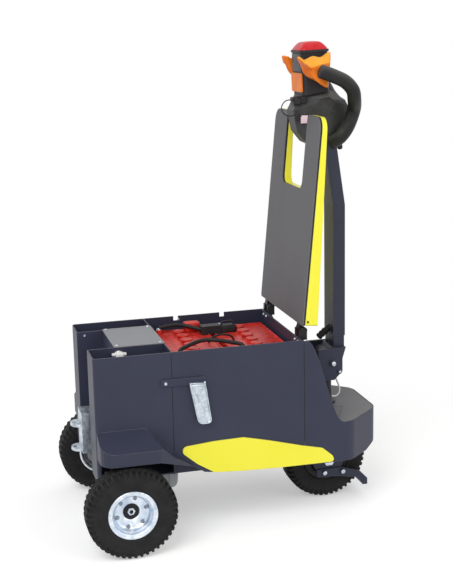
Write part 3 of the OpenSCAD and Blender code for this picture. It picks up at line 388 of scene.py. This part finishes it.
def addCord(name, facts, body, slotName, nodesReplaced=()):
    points = splinePoints([at(*p) for p in facts["route"]], facts["steps"])
    curve = bpy.data.curves.new(name, "CURVE")
    curve.dimensions = "3D"
    curve.bevel_depth = facts["diameter"] * mm / 2
    curve.bevel_resolution = 4
    curve.use_fill_caps = True
    line = curve.splines.new("POLY")
    line.points.add(len(points) - 1)
    for spot, p in zip(line.points, points):
        spot.co = (*p, 1)
    line.use_smooth = True
    curve.materials.append(finishes[slotName])
    piece = bpy.data.objects.new(name, curve)
    placePiece(piece, body, nodesReplaced)

# cords; the first three follow the routes of their solids in the part's source
tillerCable = {"diameter": 5.6, "farEnd": "object", "stiffness": "medium", "lay": "hanging", "steps": 6,
               "route": [(363.5, -12, 384), (371.5, -12, 366), (379, -12, 344), (378, -12, 326),
                         (367.5, -12, 317), (354, -12, 317)]}
batteryLink = {"diameter": 12, "farEnd": "object", "stiffness": "stiff", "lay": "loose", "steps": 7,
               "route": [(-153, -144, 542), (-137, -128, 548), (-58, -72, 550), (21, -128, 548), (37, -144, 542)]}
batteryFeed = {"diameter": 12, "farEnd": "connector", "stiffness": "stiff", "lay": "loose", "steps": 9,
               "route": [(-153, 144, 542), (-92, 136, 548), (-25, 102, 535)]}
cellStrap = {"diameter": 6, "farEnd": "object", "stiffness": "medium", "lay": "loose", "steps": 5,
             "route": [(-34, -8, 523), (-26, -10, 537), (-4, -15, 546), (16, -17, 546), (36, -13, 538),
                       (45, -10, 523)]}
keyLoop = {"diameter": 3.2, "farEnd": "object", "stiffness": "medium", "lay": "hanging", "steps": 5,
           "route": [(235, -44, 1228), (220, -46, 1235), (202, -46, 1232), (191, -46, 1217), (194, -46, 1201),
                     (206, -46, 1191), (222, -46, 1189), (237, -45, 1195)]}
addCord("tillerCableLoop", tillerCable, "steering", "white_plastic", ("tiller_cable",))
addCord("batteryLinkLead", batteryLink, "chassis", "soft_rubber", ("battery_leads",))
addCord("batteryFeedLead", batteryFeed, "chassis", "soft_rubber", ("battery_leads",))
addCord("cellStrap", cellStrap, "chassis", "soft_rubber")
addCord("keyLoop", keyLoop, "tiller", "soft_rubber")
print("cords laid")

# wheels: axle place along and across, and the side that faces out
wheels = {"drive_wheel_right": (-334, -271.5, -1), "drive_wheel_left": (-334, 271.5, 1),
          "steer_wheel": (325.5, 0, -1)}
axleHeight = 130

# tyres: half a section as (radius, width, cut of a gap between lugs inwards, and sideways)
# gap, setback of the other half's lugs and sipe are shares of a lug
tyre = {"crown": 129.95, "lugs": 46, "perLug": 8, "gap": 0.38, "setback": 0.5, "treadHalf": 19, "treadLow": 129,
        "grooveAt": 11.5, "grooveSway": 3.2, "grooveDepth": 4.8, "grooveHalf": 1.2,
        "sipe": (0.45, 0.6), "sipeDepth": 2.6, "sipeHalf": 8, "middle": (130, 0, 0, 0),
        "section": [(58.4, 34, 0, 0), (66, 34.2, 0, 0), (71.8, 34.6, 0, 0), (73.4, 36.6, 0, 0),
                    (75.6, 37.6, 0, 0), (77.5, 38.7, 0, 0), (80, 38.8, 0, 0), (82, 38.2, 0, 0),
                    (88, 39.6, 0, 0), (95, 41.2, 0, 0), (101, 42.1, 0, 0), (107, 42.4, 0, 0),
                    (110, 42.45, 0, 0.6), (112.5, 42.4, 0, 2.6), (115, 42.3, 0.6, 3.2), (118, 41.9, 1.4, 3.2),
                    (121, 40.9, 2.6, 3.0), (124, 39, 4.2, 2.4), (126.4, 36.6, 5.4, 1.6), (128.2, 33.6, 6.2, 0.8),
                    (129.2, 30.6, 6.5, 0.3), (129.7, 27.5, 6.5, 0), (129.9, 24.5, 6.5, 0), (130, 22, 6.2, 0),
                    (130, 20.2, 1.2, 0), (130, 18.4, 0, 0), (130, 16.2, 0, 0), (130, 14, 0, 0),
                    (130, 12.2, 0, 0), (130, 10.6, 0, 0), (130, 9, 0, 0), (130, 7.2, 0, 0),
                    (130, 5, 0, 0), (130, 2.5, 0, 0)]}

# depth of the zigzag grooves, which sway out and back once per lug, and of the short cuts between them
def treadCut(w, phase):
    zig = tyre["grooveAt"] + tyre["grooveSway"] * (4 * abs(phase - 0.5) - 1)
    off = max(0, abs(abs(w) - zig) - tyre["grooveHalf"])
    deep = tyre["grooveDepth"] * max(0, 1 - off / tyre["grooveHalf"])
    if abs(w) < tyre["sipeHalf"] and tyre["sipe"][0] <= phase < tyre["sipe"][1]:
        deep = max(deep, tyre["sipeDepth"])
    return deep

def makeTyre(body, nodeName):
    x, y, out = wheels[body]
    half = tyre["section"]
    section = half + [tyre["middle"]] + [(r, -w, dr, dw) for r, w, dr, dw in reversed(half)]
    steps = tyre["lugs"] * tyre["perLug"]
    verts = []
    for k, turn in enumerate(turnsOf(steps)):
        for r, w, dr, dw in section:
            phase = (k / tyre["perLug"] + (tyre["setback"] if w < 0 else 0)) % 1
            if phase < tyre["gap"]:
                r, w = r - dr, w - math.copysign(dw, w)
            if abs(w) < tyre["treadHalf"] and r > tyre["treadLow"]:
                r -= treadCut(w, phase)
            r = min(r, tyre["crown"])
            verts.append(at(x + r * math.cos(turn), y + out * w, axleHeight + r * math.sin(turn)))
    addPiece(body + "Tread", (verts, ringFaces(steps, len(section))), body, "tyre_rubber", angle=28,
             nodesReplaced=(nodeName,))

for body, nodeName in (("drive_wheel_right", "drive_tyre_right"), ("drive_wheel_left", "drive_tyre_left"),
                       ("steer_wheel", "steer_tyre")):
    makeTyre(body, nodeName)
print("tyres moulded")

# rims: a rolled lip, a wide flare and a shallow pressed dish with six bolts and a hub nut
rim = {"steps": 96, "boltRing": 42.5, "bolts": 6, "boltTurn": 0.25, "face": 9.8, "hubEnd": 2, "nutTurn": 0.3,
       "round": 24, "hexagon": 6,
       "section": [(58.3, 33.8), (70.9, 33.8), (70.95, 35.4), (70.4, 37), (69, 37.9), (67, 37.9), (65.2, 37.3),
                   (63, 36.5), (60.6, 35.7), (58.6, 34.9), (57.8, 34), (56.8, 31.8), (55.4, 28.8), (53.8, 25.8),
                   (52.4, 24), (51.6, 22.8), (51.2, 21), (50.6, 18.4), (49.6, 15.6), (48, 13.2), (46, 11.6),
                   (43, 10.6), (36, 8.9), (30, 7.2), (26, 5.8), (23.8, 4.6), (22.6, 2.6), (22.4, -13.4),
                   (24, -14), (48, -14), (52.4, -16), (54.4, -20), (55.4, -28), (57, -31), (61, -33),
                   (63.8, -35.4), (66, -37.9), (69.2, -37.9), (70.9, -36.8), (70.9, -33.8), (58.3, -33.8)],
       "washer": [(6.4, 0), (6.4, 1), (5.8, 1.4)],
       "bolt": [(5.2, 1.4), (5.2, 4.4), (4.5, 5.2), (2.4, 5.2), (2.2, 4), (1.2, 4)],
       "nut": [(11.4, -0.2), (11.4, 4.4), (10.2, 5.4), (6.4, 5.4), (6, 3.2)],
       "stud": [(5.6, 0), (5.6, 4), (4.6, 5), (2.6, 5), (2.2, 3.4)]}

def makeRim(body, nodeName):
    x, y, out = wheels[body]
    axis = Vector((0, out, 0))
    dish = spun([(r * mm, w * mm) for r, w in rim["section"]], rim["steps"], at(x, y, axleHeight), axis)
    addPiece(body + "Rim", dish, body, "wheel_rim", angle=40, nodesReplaced=(nodeName,))
    parts = []
    ring = rim["boltRing"]
    for k in range(rim["bolts"]):
        t = 2 * math.pi * (k + rim["boltTurn"]) / rim["bolts"]
        spot = at(x + ring * math.cos(t), y + out * rim["face"], axleHeight + ring * math.sin(t))
        parts.append(lathed(rim["washer"], rim["round"], spot, axis))
        parts.append(lathed(rim["bolt"], rim["hexagon"], spot, axis, t))
    addPiece(body + "Bolts", joined(parts), body, "zinc_plate", "boltSteel", angle=30)
    spot = at(x, y + out * rim["hubEnd"], axleHeight)
    nut = lathed(rim["nut"], rim["hexagon"], spot, axis, rim["nutTurn"])
    addPiece(body + "HubNut", nut, body, "zinc_plate", angle=30)
    addPiece(body + "HubStud", lathed(rim["stud"], rim["round"], spot, axis), body, "black_steel", angle=30)

for body, nodeName in (("drive_wheel_right", "drive_rim_right"), ("drive_wheel_left", "drive_rim_left")):
    makeRim(body, nodeName)
print("rims pressed")

# frames of the tiller head, place in metres, and of the housing on it, which leans back against it
head = {"place": Vector((0.3685, 0, 0.91907)), "lean": math.radians(8.3)}
housing = {"place": (-15.5, 402), "lean": math.radians(6), "halfL": 41, "halfW": 50, "top": 61, "fold": 14}

def inHead(lx, y, lz):
    c, s = math.cos(head["lean"]), math.sin(head["lean"])
    return head["place"] + Vector((lx * c - lz * s, y, lx * s + lz * c)) * mm

def inHousing(x, y, z):
    c, s = math.cos(housing["lean"]), math.sin(housing["lean"])
    return inHead(housing["place"][0] + x * c + z * s, y, housing["place"][1] - x * s + z * c)

# loop grips: rubber sleeve with a rounded start, over a short neck that comes out of the throttle
# shares place the sleeve between front and back, out to reach, and between low and high
grips = {"r": 20, "sides": 32, "steps": 8, "reach": 128, "front": -31, "back": 78, "low": 187, "high": 409,
         "end": 34, "roll": 7, "rollTurns": (0, 20, 40, 60, 80),
         "shares": [(0, 1, 1), (0.379, 1, 0.895), (0.661, 0.992, 0.8), (0.851, 0.938, 0.676),
                    (0.917, 0.813, 0.552), (0.986, 0.563, 0.418), (0.898, 0.461, 0.275), (0.748, 0.422, 0.153),
                    (0.549, 0.391, 0.059), (0.342, 0.281, 0)],
         "neck": (-8, 397), "neckR": 13, "neckStart": 0.2, "neckEnd": 107, "neckSides": 28}

def makeGrips():
    parts = []
    roll, r = grips["roll"], grips["r"]
    turns = [math.radians(t) for t in grips["rollTurns"]]
    for side in bothSides:
        path = splinePoints([inHead(grips["front"] + x * (grips["back"] - grips["front"]),
                                    side * y * grips["reach"],
                                    grips["low"] + z * (grips["high"] - grips["low"]))
                             for x, y, z in grips["shares"]], grips["steps"])
        path = [p for p in path if abs(p.y) > grips["end"] * mm]
        ahead = (path[1] - path[0]).normalized()
        start = [path[0] + ahead * roll * mm * (1 - math.cos(t)) for t in turns]
        keep = [p for p in path if (p - path[0]).length > roll * mm]
        radii = [(r - roll + roll * math.sin(t)) * mm for t in turns] + [r * mm] * len(keep)
        parts.append(tubeMesh(start + keep, radii, grips["sides"]))
        neck = inHead(grips["neck"][0], side * grips["neckEnd"], grips["neck"][1])
        rings = [(grips["neckR"], grips["neckStart"]), (grips["neckR"], grips["reach"] - grips["neckEnd"])]
        parts.append(lathed(rings, grips["neckSides"], neck, (0, side, 0)))
    addPiece("gripSleeves", joined(parts), "tiller", "soft_rubber", "grip", angle=50,
             nodesReplaced=("loop_grips",))

makeGrips()

# throttle wings: three outlines from the housing out to the grip, run together
# rings are distances from the middle with how far the outline is drawn in, for rounded ends
wing = {"hub": (-4, 2), "hubR": 14, "hubSides": 32, "hubSink": 1, "steps": 4, "from": 58, "tipAt": 72, "to": 107,
        "sweep": 1.15,
        "rings": [(58, 2), (58.6, 0.6), (60, 0), (66, 0), (70, 0), (74, 0), (80, 0), (88, 0), (96, 0), (101, 0),
                  (106, 0), (106.7, 0.3), (107, 1)],
        "outer": [(-45, 21), (-36, 12.5), (-23, 4), (-21, -14), (-17, -25), (6.7, -43), (18, -46), (17.5, -35.5),
                  (23, -10), (26, 8), (27, 20), (18, 21), (0, 19), (-23, 12.5), (-34, 15), (-41, 22)],
        "tip": [(-59, 40), (-50, 19.5), (-43, -1), (-31, -15), (-8, -27.5), (16, -45), (30, -48.5), (32, -38),
                (35, 0), (39, 20), (42, 48), (34, 50), (13, 38), (-12, 42.5), (-40, 33.5), (-52, 43.5)],
        "inner": [(-48, 37), (-41, 18), (-36, -1), (-25, -15), (-3, -27), (18, -43), (30, -46), (34, -36),
                  (36, 0), (40, 20), (46, 46), (36, 49), (14, 38), (-11, 41), (-33, 34), (-42, 40)]}

def wingOutline(flat, y):
    if y < wing["tipAt"]:
        t = (y - wing["from"]) / (wing["tipAt"] - wing["from"])
        return [p.lerp(q, t * t * (3 - 2 * t)) for p, q in zip(flat["inner"], flat["tip"])]
    t = (y - wing["tipAt"]) / (wing["to"] - wing["tipAt"])
    return [p.lerp(q, t ** wing["sweep"]) for p, q in zip(flat["tip"], flat["outer"])]

def makeWing(side, nodeName):
    hubX, hubZ = wing["hub"]
    flat = {k: closedSpline([(x, 0, z) for x, z in wing[k]], wing["steps"]) for k in ("outer", "tip", "inner")}
    rings = []
    for y, inset in wing["rings"]:
        line = wingOutline(flat, y)
        ring = []
        for i, p in enumerate(line):
            run = line[(i + 1) % len(line)] - line[i - 1]
            q = p + Vector((-run.z, 0, run.x)).normalized() * inset
            ring.append(inHousing(hubX + q.x, side * y, hubZ + q.z))
        rings.append(ring)
    hubEnd = wing["from"] - housing["halfW"] + wing["hubSink"]
    hub = lathed([(wing["hubR"], 0), (wing["hubR"], hubEnd)], wing["hubSides"],
                 inHousing(hubX, side * housing["halfW"], hubZ), (0, side, 0))
    addPiece(nodeName + "Wing", joined([lofted(rings), hub]), "tiller", "orange_plastic", angle=40,
             nodesReplaced=(nodeName,))

for side, nodeName in zip(bothSides, ("throttle_right", "throttle_left")):
    makeWing(side, nodeName)

# red safety button: a low dome over a rounded rectangle, as (height, share of the housing's plan)
button = {"cornerSteps": 7, "rings": [(0, 1), (3, 0.985), (8, 0.905), (13, 0.81), (17.5, 0.705), (20.5, 0.61),
                                      (22.2, 0.5), (22.9, 0.36), (23, 0.16)]}

def headPlan(share, z):
    l, w, r = housing["halfL"], housing["halfW"], housing["fold"]
    return [inHousing((cx + r * c) * share, (cy + r * s) * share, housing["top"] + z)
            for cx, cy, c, s in cornerTurns(-l, -w, l, w, r, button["cornerSteps"])]

addPiece("safetyDome", lofted([headPlan(share, z) for z, share in button["rings"]]), "tiller", "red_plastic",
         angle=40, nodesReplaced=("safety_button",))

# grey panel on the front of the housing
front = {"low": 1, "high": 51, "half": 40, "t": 1.4, "fold": 0.6}
panel = roundedBox((front["low"], -front["half"], 0), (front["high"], front["half"], front["t"]), front["fold"],
                   lambda x, y, z: inHousing(-housing["halfL"] - z, y, x))
addPiece("frontPanel", panel, "tiller", "black_plastic", "greyPanel", angle=30)

# key switch cap and socket, and the fob and tag that hang from the key ring
keySeat = {"sides": 28, "axis": (0, -1, 0), "capAt": (-81.8, -44, 327), "socketAt": (-62.1, -44, 327),
           "cap": [(8.6, 0), (9.2, 0.8), (9.2, 5), (8, 6), (4, 6)],
           "socket": [(8.6, 0), (9.2, 0.8), (9.2, 2.4), (8, 3), (5.5, 3), (5.2, 1.2), (2, 1.2)]}
fob = {"low": (230, -49, 1178), "high": (243, -42, 1202), "fold": 2.4}
tag = {"low": (250, -44.5, 1166), "high": (271, -42.5, 1189), "fold": 0.8,
       "linkR": 1.1, "linkSides": 10, "linkSteps": 4,
       "link": [(235, -45.5, 1196), (241, -45.5, 1193), (247, -45, 1189), (253, -43.6, 1186)]}
link = splinePoints([at(*p) for p in tag["link"]], tag["linkSteps"])
addPiece("keyFittings", joined([
    roundedBox(fob["low"], fob["high"], fob["fold"], at),
    tubeMesh(link, [tag["linkR"] * mm] * len(link), tag["linkSides"]),
    lathed(keySeat["cap"], keySeat["sides"], inHead(*keySeat["capAt"]), keySeat["axis"]),
    lathed(keySeat["socket"], keySeat["sides"], inHead(*keySeat["socketAt"]), keySeat["axis"])]),
    "tiller", "black_plastic")
addPiece("keyTag", roundedBox(tag["low"], tag["high"], tag["fold"], at), "tiller", "white_plastic", "keyTag")

# small black knob at the top of the mast
knob = {"place": (24, -6, 168), "axis": (1, 0, 0.14), "sides": 28,
        "rings": [(5, -6), (5, 8), (9, 10), (10.5, 13), (10.5, 18), (9, 21), (5, 22)]}
addPiece("mastKnob", lathed(knob["rings"], knob["sides"], inHead(*knob["place"]), knob["axis"]), "tiller",
         "black_plastic")
print("head dressed")

# batteries: a low lip round the top, round cell caps, a red cover over one terminal, and posts
cell = {"count": 6, "pitch": 51.6, "top": 522, "capH": 9, "caps": (-94, 96), "capSides": 32, "halfW": 172,
        "ends": ((-181, -7), (9, 183)),
        "cap": [(15.2, -9.4), (15.2, -4), (18, -3.4), (18.4, -2.4), (18.4, -0.2), (17.2, 1), (13, 1.3), (12, 0.9),
                (4, 0.9)]}
lip = {"inset": 3, "gap": 1, "longHalf": 2.4, "crossHalf": 2.2, "sink": 1, "rise": 3, "fold": 1}
terminal = {"low": (-72, 132, 522), "high": (-24, 170, 551), "fold": 5}
post = {"x": (-153, 37), "y": (-144, 144), "z": 536, "sides": 24,
        "rings": [(8.6, 0), (8.6, 1), (6.5, 1.6), (6.5, 4), (5, 4.6)]}

def makeBatteryTops():
    parts = []
    low, high = cell["top"] - lip["sink"], cell["top"] + lip["rise"]
    for (x0, x1), capX in zip(cell["ends"], cell["caps"]):
        for side in bothSides:
            y = side * (cell["halfW"] - lip["inset"])
            parts.append(roundedBox((x0 + lip["gap"], y - lip["longHalf"], low),
                                    (x1 - lip["gap"], y + lip["longHalf"], high), lip["fold"], at))
        for x in (x0 + lip["inset"], x1 - lip["inset"]):
            parts.append(roundedBox((x - lip["crossHalf"], -cell["halfW"] + lip["gap"], low),
                                    (x + lip["crossHalf"], cell["halfW"] - lip["gap"], high), lip["fold"], at))
        for k in range(cell["count"]):
            spot = at(capX, (k - (cell["count"] - 1) / 2) * cell["pitch"], cell["top"] + cell["capH"])
            parts.append(lathed(cell["cap"], cell["capSides"], spot, (0, 0, 1)))
    parts.append(roundedBox(terminal["low"], terminal["high"], terminal["fold"], at))
    addPiece("batteryMouldings", joined(parts), "chassis", "battery_case")
    parts = [lathed(post["rings"], post["sides"], at(x, y, post["z"]), (0, 0, 1))
             for x in post["x"] for y in post["y"]]
    addPiece("batteryPosts", joined(parts), "chassis", "zinc_plate")

makeBatteryTops()

# second half of the battery connector, with a handle to pull it by
plug = {"low": (29, 87, 521.8), "high": (80, 117, 546), "fold": 4, "r": 3.2, "steps": 5, "sides": 14,
        "handle": [(35, 102, 544), (36, 102, 552), (43, 102, 556), (66, 102, 556), (73, 102, 552),
                   (74, 102, 544)]}
path = splinePoints([at(*p) for p in plug["handle"]], plug["steps"])
addPiece("plugHandle", joined([roundedBox(plug["low"], plug["high"], plug["fold"], at),
                               tubeMesh(path, [plug["r"] * mm] * len(path), plug["sides"])]),
         "chassis", "black_plastic", angle=40)

# charger connector in the right tower: a stem, a block and a cross bar, as (low, high, fold), and a peg
charger = {"blocks": [((-330, -130, 520), (-316, -112, 541), 2), ((-335, -135, 534), (-313, -107, 550), 3),
                      ((-345, -127, 540), (-303, -115, 548), 2.5)],
           "peg": [(4.6, -2), (4.6, 3), (3.6, 4)], "pegAt": (-326, -121, 550), "pegSides": 24}
parts = [roundedBox(low, high, fold, at) for low, high, fold in charger["blocks"]]
parts.append(lathed(charger["peg"], charger["pegSides"], at(*charger["pegAt"]), (0, 0, 1)))
addPiece("chargerInlet", joined(parts), "chassis", "white_plastic", nodesReplaced=("charger_socket",))

# motor: a rolled can with a rounded end bell
motor = {"steps": 72,
         "section": [(0, -145), (20, -145), (36, -145.6), (44, -148), (49, -153), (51.4, -160), (52, -168),
                     (52, -176), (50.4, -177), (50.4, -180), (52, -181), (52, -262), (50.4, -263), (50.4, -266),
                     (52, -267), (52, -275), (0, -275)]}
can = spun([(r * mm, x * mm) for r, x in motor["section"]], motor["steps"], at(0, 0, axleHeight), (1, 0, 0),
           closed=False)
addPiece("motorCan", can, "chassis", "cast_grey", "motorCan", nodesReplaced=("drive_motor",))

# rubber buffer on the mast, pointing at the lid
buffer = {"place": (349.5, 0, 536), "axis": (-0.766, 0, -0.643), "sides": 32,
          "rings": [(9, -8), (9, 12), (11, 14), (11, 20), (9.4, 21.5), (9.4, 24.5), (11, 26), (11, 32),
                    (9.4, 33.5), (9.4, 36), (10.8, 37.5), (10.4, 42), (8.6, 44.8), (5, 46)]}
addPiece("tillerBumper", lathed(buffer["rings"], buffer["sides"], at(*buffer["place"]), buffer["axis"]), "tiller",
         "soft_rubber", nodesReplaced=("tiller_buffer",))
print("batteries, inlet, motor and buffer made")

# toggle latch levers: a pressed channel with a raised edge, a rolled pivot, two ears and a foot on the sheet
# layers are distances from the middle with how far the outline is drawn in
latch = {"outline": [(-145.4, 470), (-97, 466.3), (-81.4, 351.3), (-89, 344.2), (-113, 344.2), (-123, 353.1)],
         "cornerR": 6, "cornerShare": 0.45, "cornerSteps": 5, "back": 211, "sheet": 206,
         "layers": [(211, 0), (220.8, 0), (221.7, 0.6), (221.7, 2.6), (220.8, 3.4), (217.6, 4.4)],
         "pivot": ((-143, 219, 461), (-100, 219, 458.6)), "pivotR": 4.6, "pivotSides": 20,
         "ears": [((-144, 214, 456), (-139, 224, 470)), ((-103, 214, 454), (-97, 224.5, 471.5))], "earFold": 2,
         "foot": (-114, 377), "footR": 10, "footSides": 28}

# rounds each corner, but never over more than a share of the edges that meet there
def roundedOutline(points, r, share, steps):
    out = []
    for i, p in enumerate(points):
        here, last, following = (Vector(q) for q in (p, points[i - 1], points[(i + 1) % len(points)]))
        start = here + (last - here).normalized() * min(r, share * (last - here).length)
        end = here + (following - here).normalized() * min(r, share * (following - here).length)
        for k in range(steps + 1):
            t = k / steps
            out.append((1 - t) ** 2 * start + 2 * t * (1 - t) * here + t * t * end)
    return out

def makeLatch(side, nodeName):
    def mirrored(x, y, z):
        return at(x, side * y, z)

    line = roundedOutline(latch["outline"], latch["cornerR"], latch["cornerShare"], latch["cornerSteps"])
    rings = []
    for y, inset in latch["layers"]:
        ring = []
        for i, p in enumerate(line):
            run = line[(i + 1) % len(line)] - line[i - 1]
            q = p + Vector((run.y, -run.x)).normalized() * inset
            ring.append(mirrored(q.x, y, q.y))
        rings.append(ring)
    start, end = (mirrored(*p) for p in latch["pivot"])
    path = [start, start.lerp(end, 0.5), end]
    parts = [lofted(rings), tubeMesh(path, [latch["pivotR"] * mm] * len(path), latch["pivotSides"])]
    parts += [roundedBox(low, high, latch["earFold"], mirrored) for low, high in latch["ears"]]
    footX, footZ = latch["foot"]
    rings = [(latch["footR"], 0), (latch["footR"], latch["back"] - latch["sheet"])]
    parts.append(lathed(rings, latch["footSides"], mirrored(footX, latch["sheet"], footZ), (0, side, 0)))
    addPiece(nodeName + "Lever", joined(parts), "chassis", "zinc_plate", angle=32, nodesReplaced=(nodeName,))

for side, nodeName in zip(bothSides, ("latch_right", "latch_left")):
    makeLatch(side, nodeName)

# black strip in each seam between the side sheets, painted shade that stands in for the shadow in the gap, as (x,
# low, high)
seamShadeStrips = {"strips": [(-191, 268, 459), (-191, 486, 558), (201, 254, 558)], "half": 1.1, "sheet": 206, "depth": 0.5,
         "proud": 0.25, "fold": 0.1}
parts = []
for side in bothSides:
    for x, low, high in seamShadeStrips["strips"]:
        parts.append(roundedBox((x - seamShadeStrips["half"], seamShadeStrips["sheet"] - seamShadeStrips["depth"], low),
                                (x + seamShadeStrips["half"], seamShadeStrips["sheet"] + seamShadeStrips["proud"], high), seamShadeStrips["fold"],
                                lambda a, b, c: at(a, side * b, c)))
addPiece("seamShadowStrips", joined(parts), "chassis", "soft_rubber")
print("latches and seams made")

# rivets and screws, in pairs to the right and left: place and outward direction on the left, and head radius
coverLow, coverHigh = ([v / mm for v in corner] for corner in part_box("controller_cover"))
cover = {"inset": (9, 11), "y": 95}
fasteners = {
    "lidRivets": ("lid", "black_steel", [((212, 209, 613.5), (0, 1, 0), 3.2)]),
    "chassisScrews": ("chassis", "zinc_plate", [
        ((coverLow[0] + cover["inset"][0], cover["y"], coverHigh[2]), (0, 0, 1), 4.6),
        ((coverHigh[0] - cover["inset"][1], cover["y"], coverHigh[2]), (0, 0, 1), 4.6),
        ((-389, 103, 548), (0, -1, 0), 4), ((-78, 203, 549), (0, -1, 0), 4),
        ((193, 146, 549), (-1, 0, 0), 5), ((193, 174, 549), (-1, 0, 0), 5),
        ((-211, 214, 472), (0, 1, 0), 4.6)]),
    "steeringScrews": ("steering", "zinc_plate", [
        ((310.6, 71, 90.6), (0, 1, 0), 7), ((370, 71, 89.3), (0, 1, 0), 7),
        ((340.5, 68, 438), (0, 1, 0), 7.5), ((362.5, 65, 410), (0, 1, 0), 4.6)]),
}
# pan head with a round recess, in head radii
panHead = {"sides": 20, "rings": [(1, -0.05), (1, 0.25), (0.88, 0.48), (0.62, 0.6), (0.46, 0.62), (0.42, 0.3),
                                  (0.1, 0.3)]}
for name, (body, slotName, spots) in fasteners.items():
    parts = [lathed([(r * a, r * b) for a, b in panHead["rings"]], panHead["sides"], at(x, side * y, z),
                    (ax, side * ay, az)) for (x, y, z), (ax, ay, az), r in spots for side in bothSides]
    addPiece(name, joined(parts), body, slotName)
print("screws set")

# pale floor and studio light: two large soft boxes, as (place, size, power), and an even white room
# the floor keeps its shadow close to the part and turns plain white further out
studio = {"key": ((-2.6, -3.4, 4.2), 3.2, 150), "fill": ((3.4, -3.0, 2.6), 3.0, 55), "aim": (0, 0, 0.6),
          "room": 0.5, "floor": "#f4f4f4", "floorRough": 0.9, "floorShine": 0.1, "glow": 0.36, "fadeFrom": 0.75,
          "fadeTo": 1.7, "half": 30}

def makeFloor():
    mat, tree, shader = newMaterial("whitePaperFloor")
    for socket, value in (("Base Color", hexColour(studio["floor"])), ("Roughness", studio["floorRough"]),
                          ("Specular IOR Level", studio["floorShine"])):
        shader.inputs[socket].default_value = value
    light = addNode(tree, "ShaderNodeLightPath").outputs
    seen = addNode(tree, "ShaderNodeMath", {"operation": "MAXIMUM"},
                   {0: light["Is Camera Ray"], 1: light["Is Glossy Ray"]}).outputs["Value"]
    spot = addNode(tree, "ShaderNodeNewGeometry").outputs["Position"]
    reach = addNode(tree, "ShaderNodeVectorMath", {"operation": "LENGTH"}, {0: spot}).outputs["Value"]
    span = {"interpolation_type": "SMOOTHSTEP", "From Min": studio["fadeFrom"], "From Max": studio["fadeTo"]}
    fade = addNode(tree, "ShaderNodeMapRange", span, {"Value": reach}).outputs["Result"]
    white = addNode(tree, "ShaderNodeMath", {"operation": "MULTIPLY"}, {0: fade, 1: seen}).outputs["Value"]
    glowing = addNode(tree, "ShaderNodeMath", {"operation": "MULTIPLY", 1: studio["glow"]}, {0: seen})
    glow = addNode(tree, "ShaderNodeEmission", {}, {"Strength": glowing.outputs["Value"]}).outputs["Emission"]
    lit = addNode(tree, "ShaderNodeAddShader", {}, {0: shader.outputs["BSDF"], 1: glow}).outputs["Shader"]
    plain = addNode(tree, "ShaderNodeEmission").outputs["Emission"]
    both = addNode(tree, "ShaderNodeMixShader", {}, {0: white, 1: lit, 2: plain}).outputs["Shader"]
    tree.links.new(both, tree.nodes["Material Output"].inputs["Surface"])
    mesh = bpy.data.meshes.new("floorSheet")
    half = studio["half"]
    mesh.from_pydata([(-half, -half, 0), (half, -half, 0), (half, half, 0), (-half, half, 0)], [], [(0, 1, 2, 3)])
    mesh.materials.append(mat)
    floor = bpy.data.objects.new("floorSheet", mesh)
    scene.collection.objects.link(floor)

def makeLamp(name):
    place, size, power = studio[name]
    lamp = bpy.data.lights.new(name + "Box", "AREA")
    lamp.size, lamp.energy = size, power
    made = bpy.data.objects.new(name + "Box", lamp)
    made.location = place
    made.rotation_euler = (Vector(studio["aim"]) - Vector(place)).to_track_quat("-Z", "Y").to_euler()
    scene.collection.objects.link(made)

# the room looks plain white, but lights the part with less
def makeRoom():
    world = bpy.data.worlds.new("whiteRoom")
    scene.world = world
    world.use_nodes = True
    tree = world.node_tree
    light = addNode(tree, "ShaderNodeLightPath").outputs
    sharp = addNode(tree, "ShaderNodeMath", {"operation": "MAXIMUM"},
                    {0: light["Is Glossy Ray"], 1: light["Is Transmission Ray"]}).outputs["Value"]
    seen = addNode(tree, "ShaderNodeMath", {"operation": "MAXIMUM"},
                   {0: light["Is Camera Ray"], 1: sharp}).outputs["Value"]
    power = addNode(tree, "ShaderNodeMapRange", {"To Min": studio["room"], "To Max": 1.0}, {"Value": seen})
    back = tree.nodes["Background"]
    back.inputs["Color"].default_value = (1, 1, 1, 1)
    tree.links.new(power.outputs["Result"], back.inputs["Strength"])

makeFloor()
makeLamp("key")
makeLamp("fill")
makeRoom()
print("studio lit")
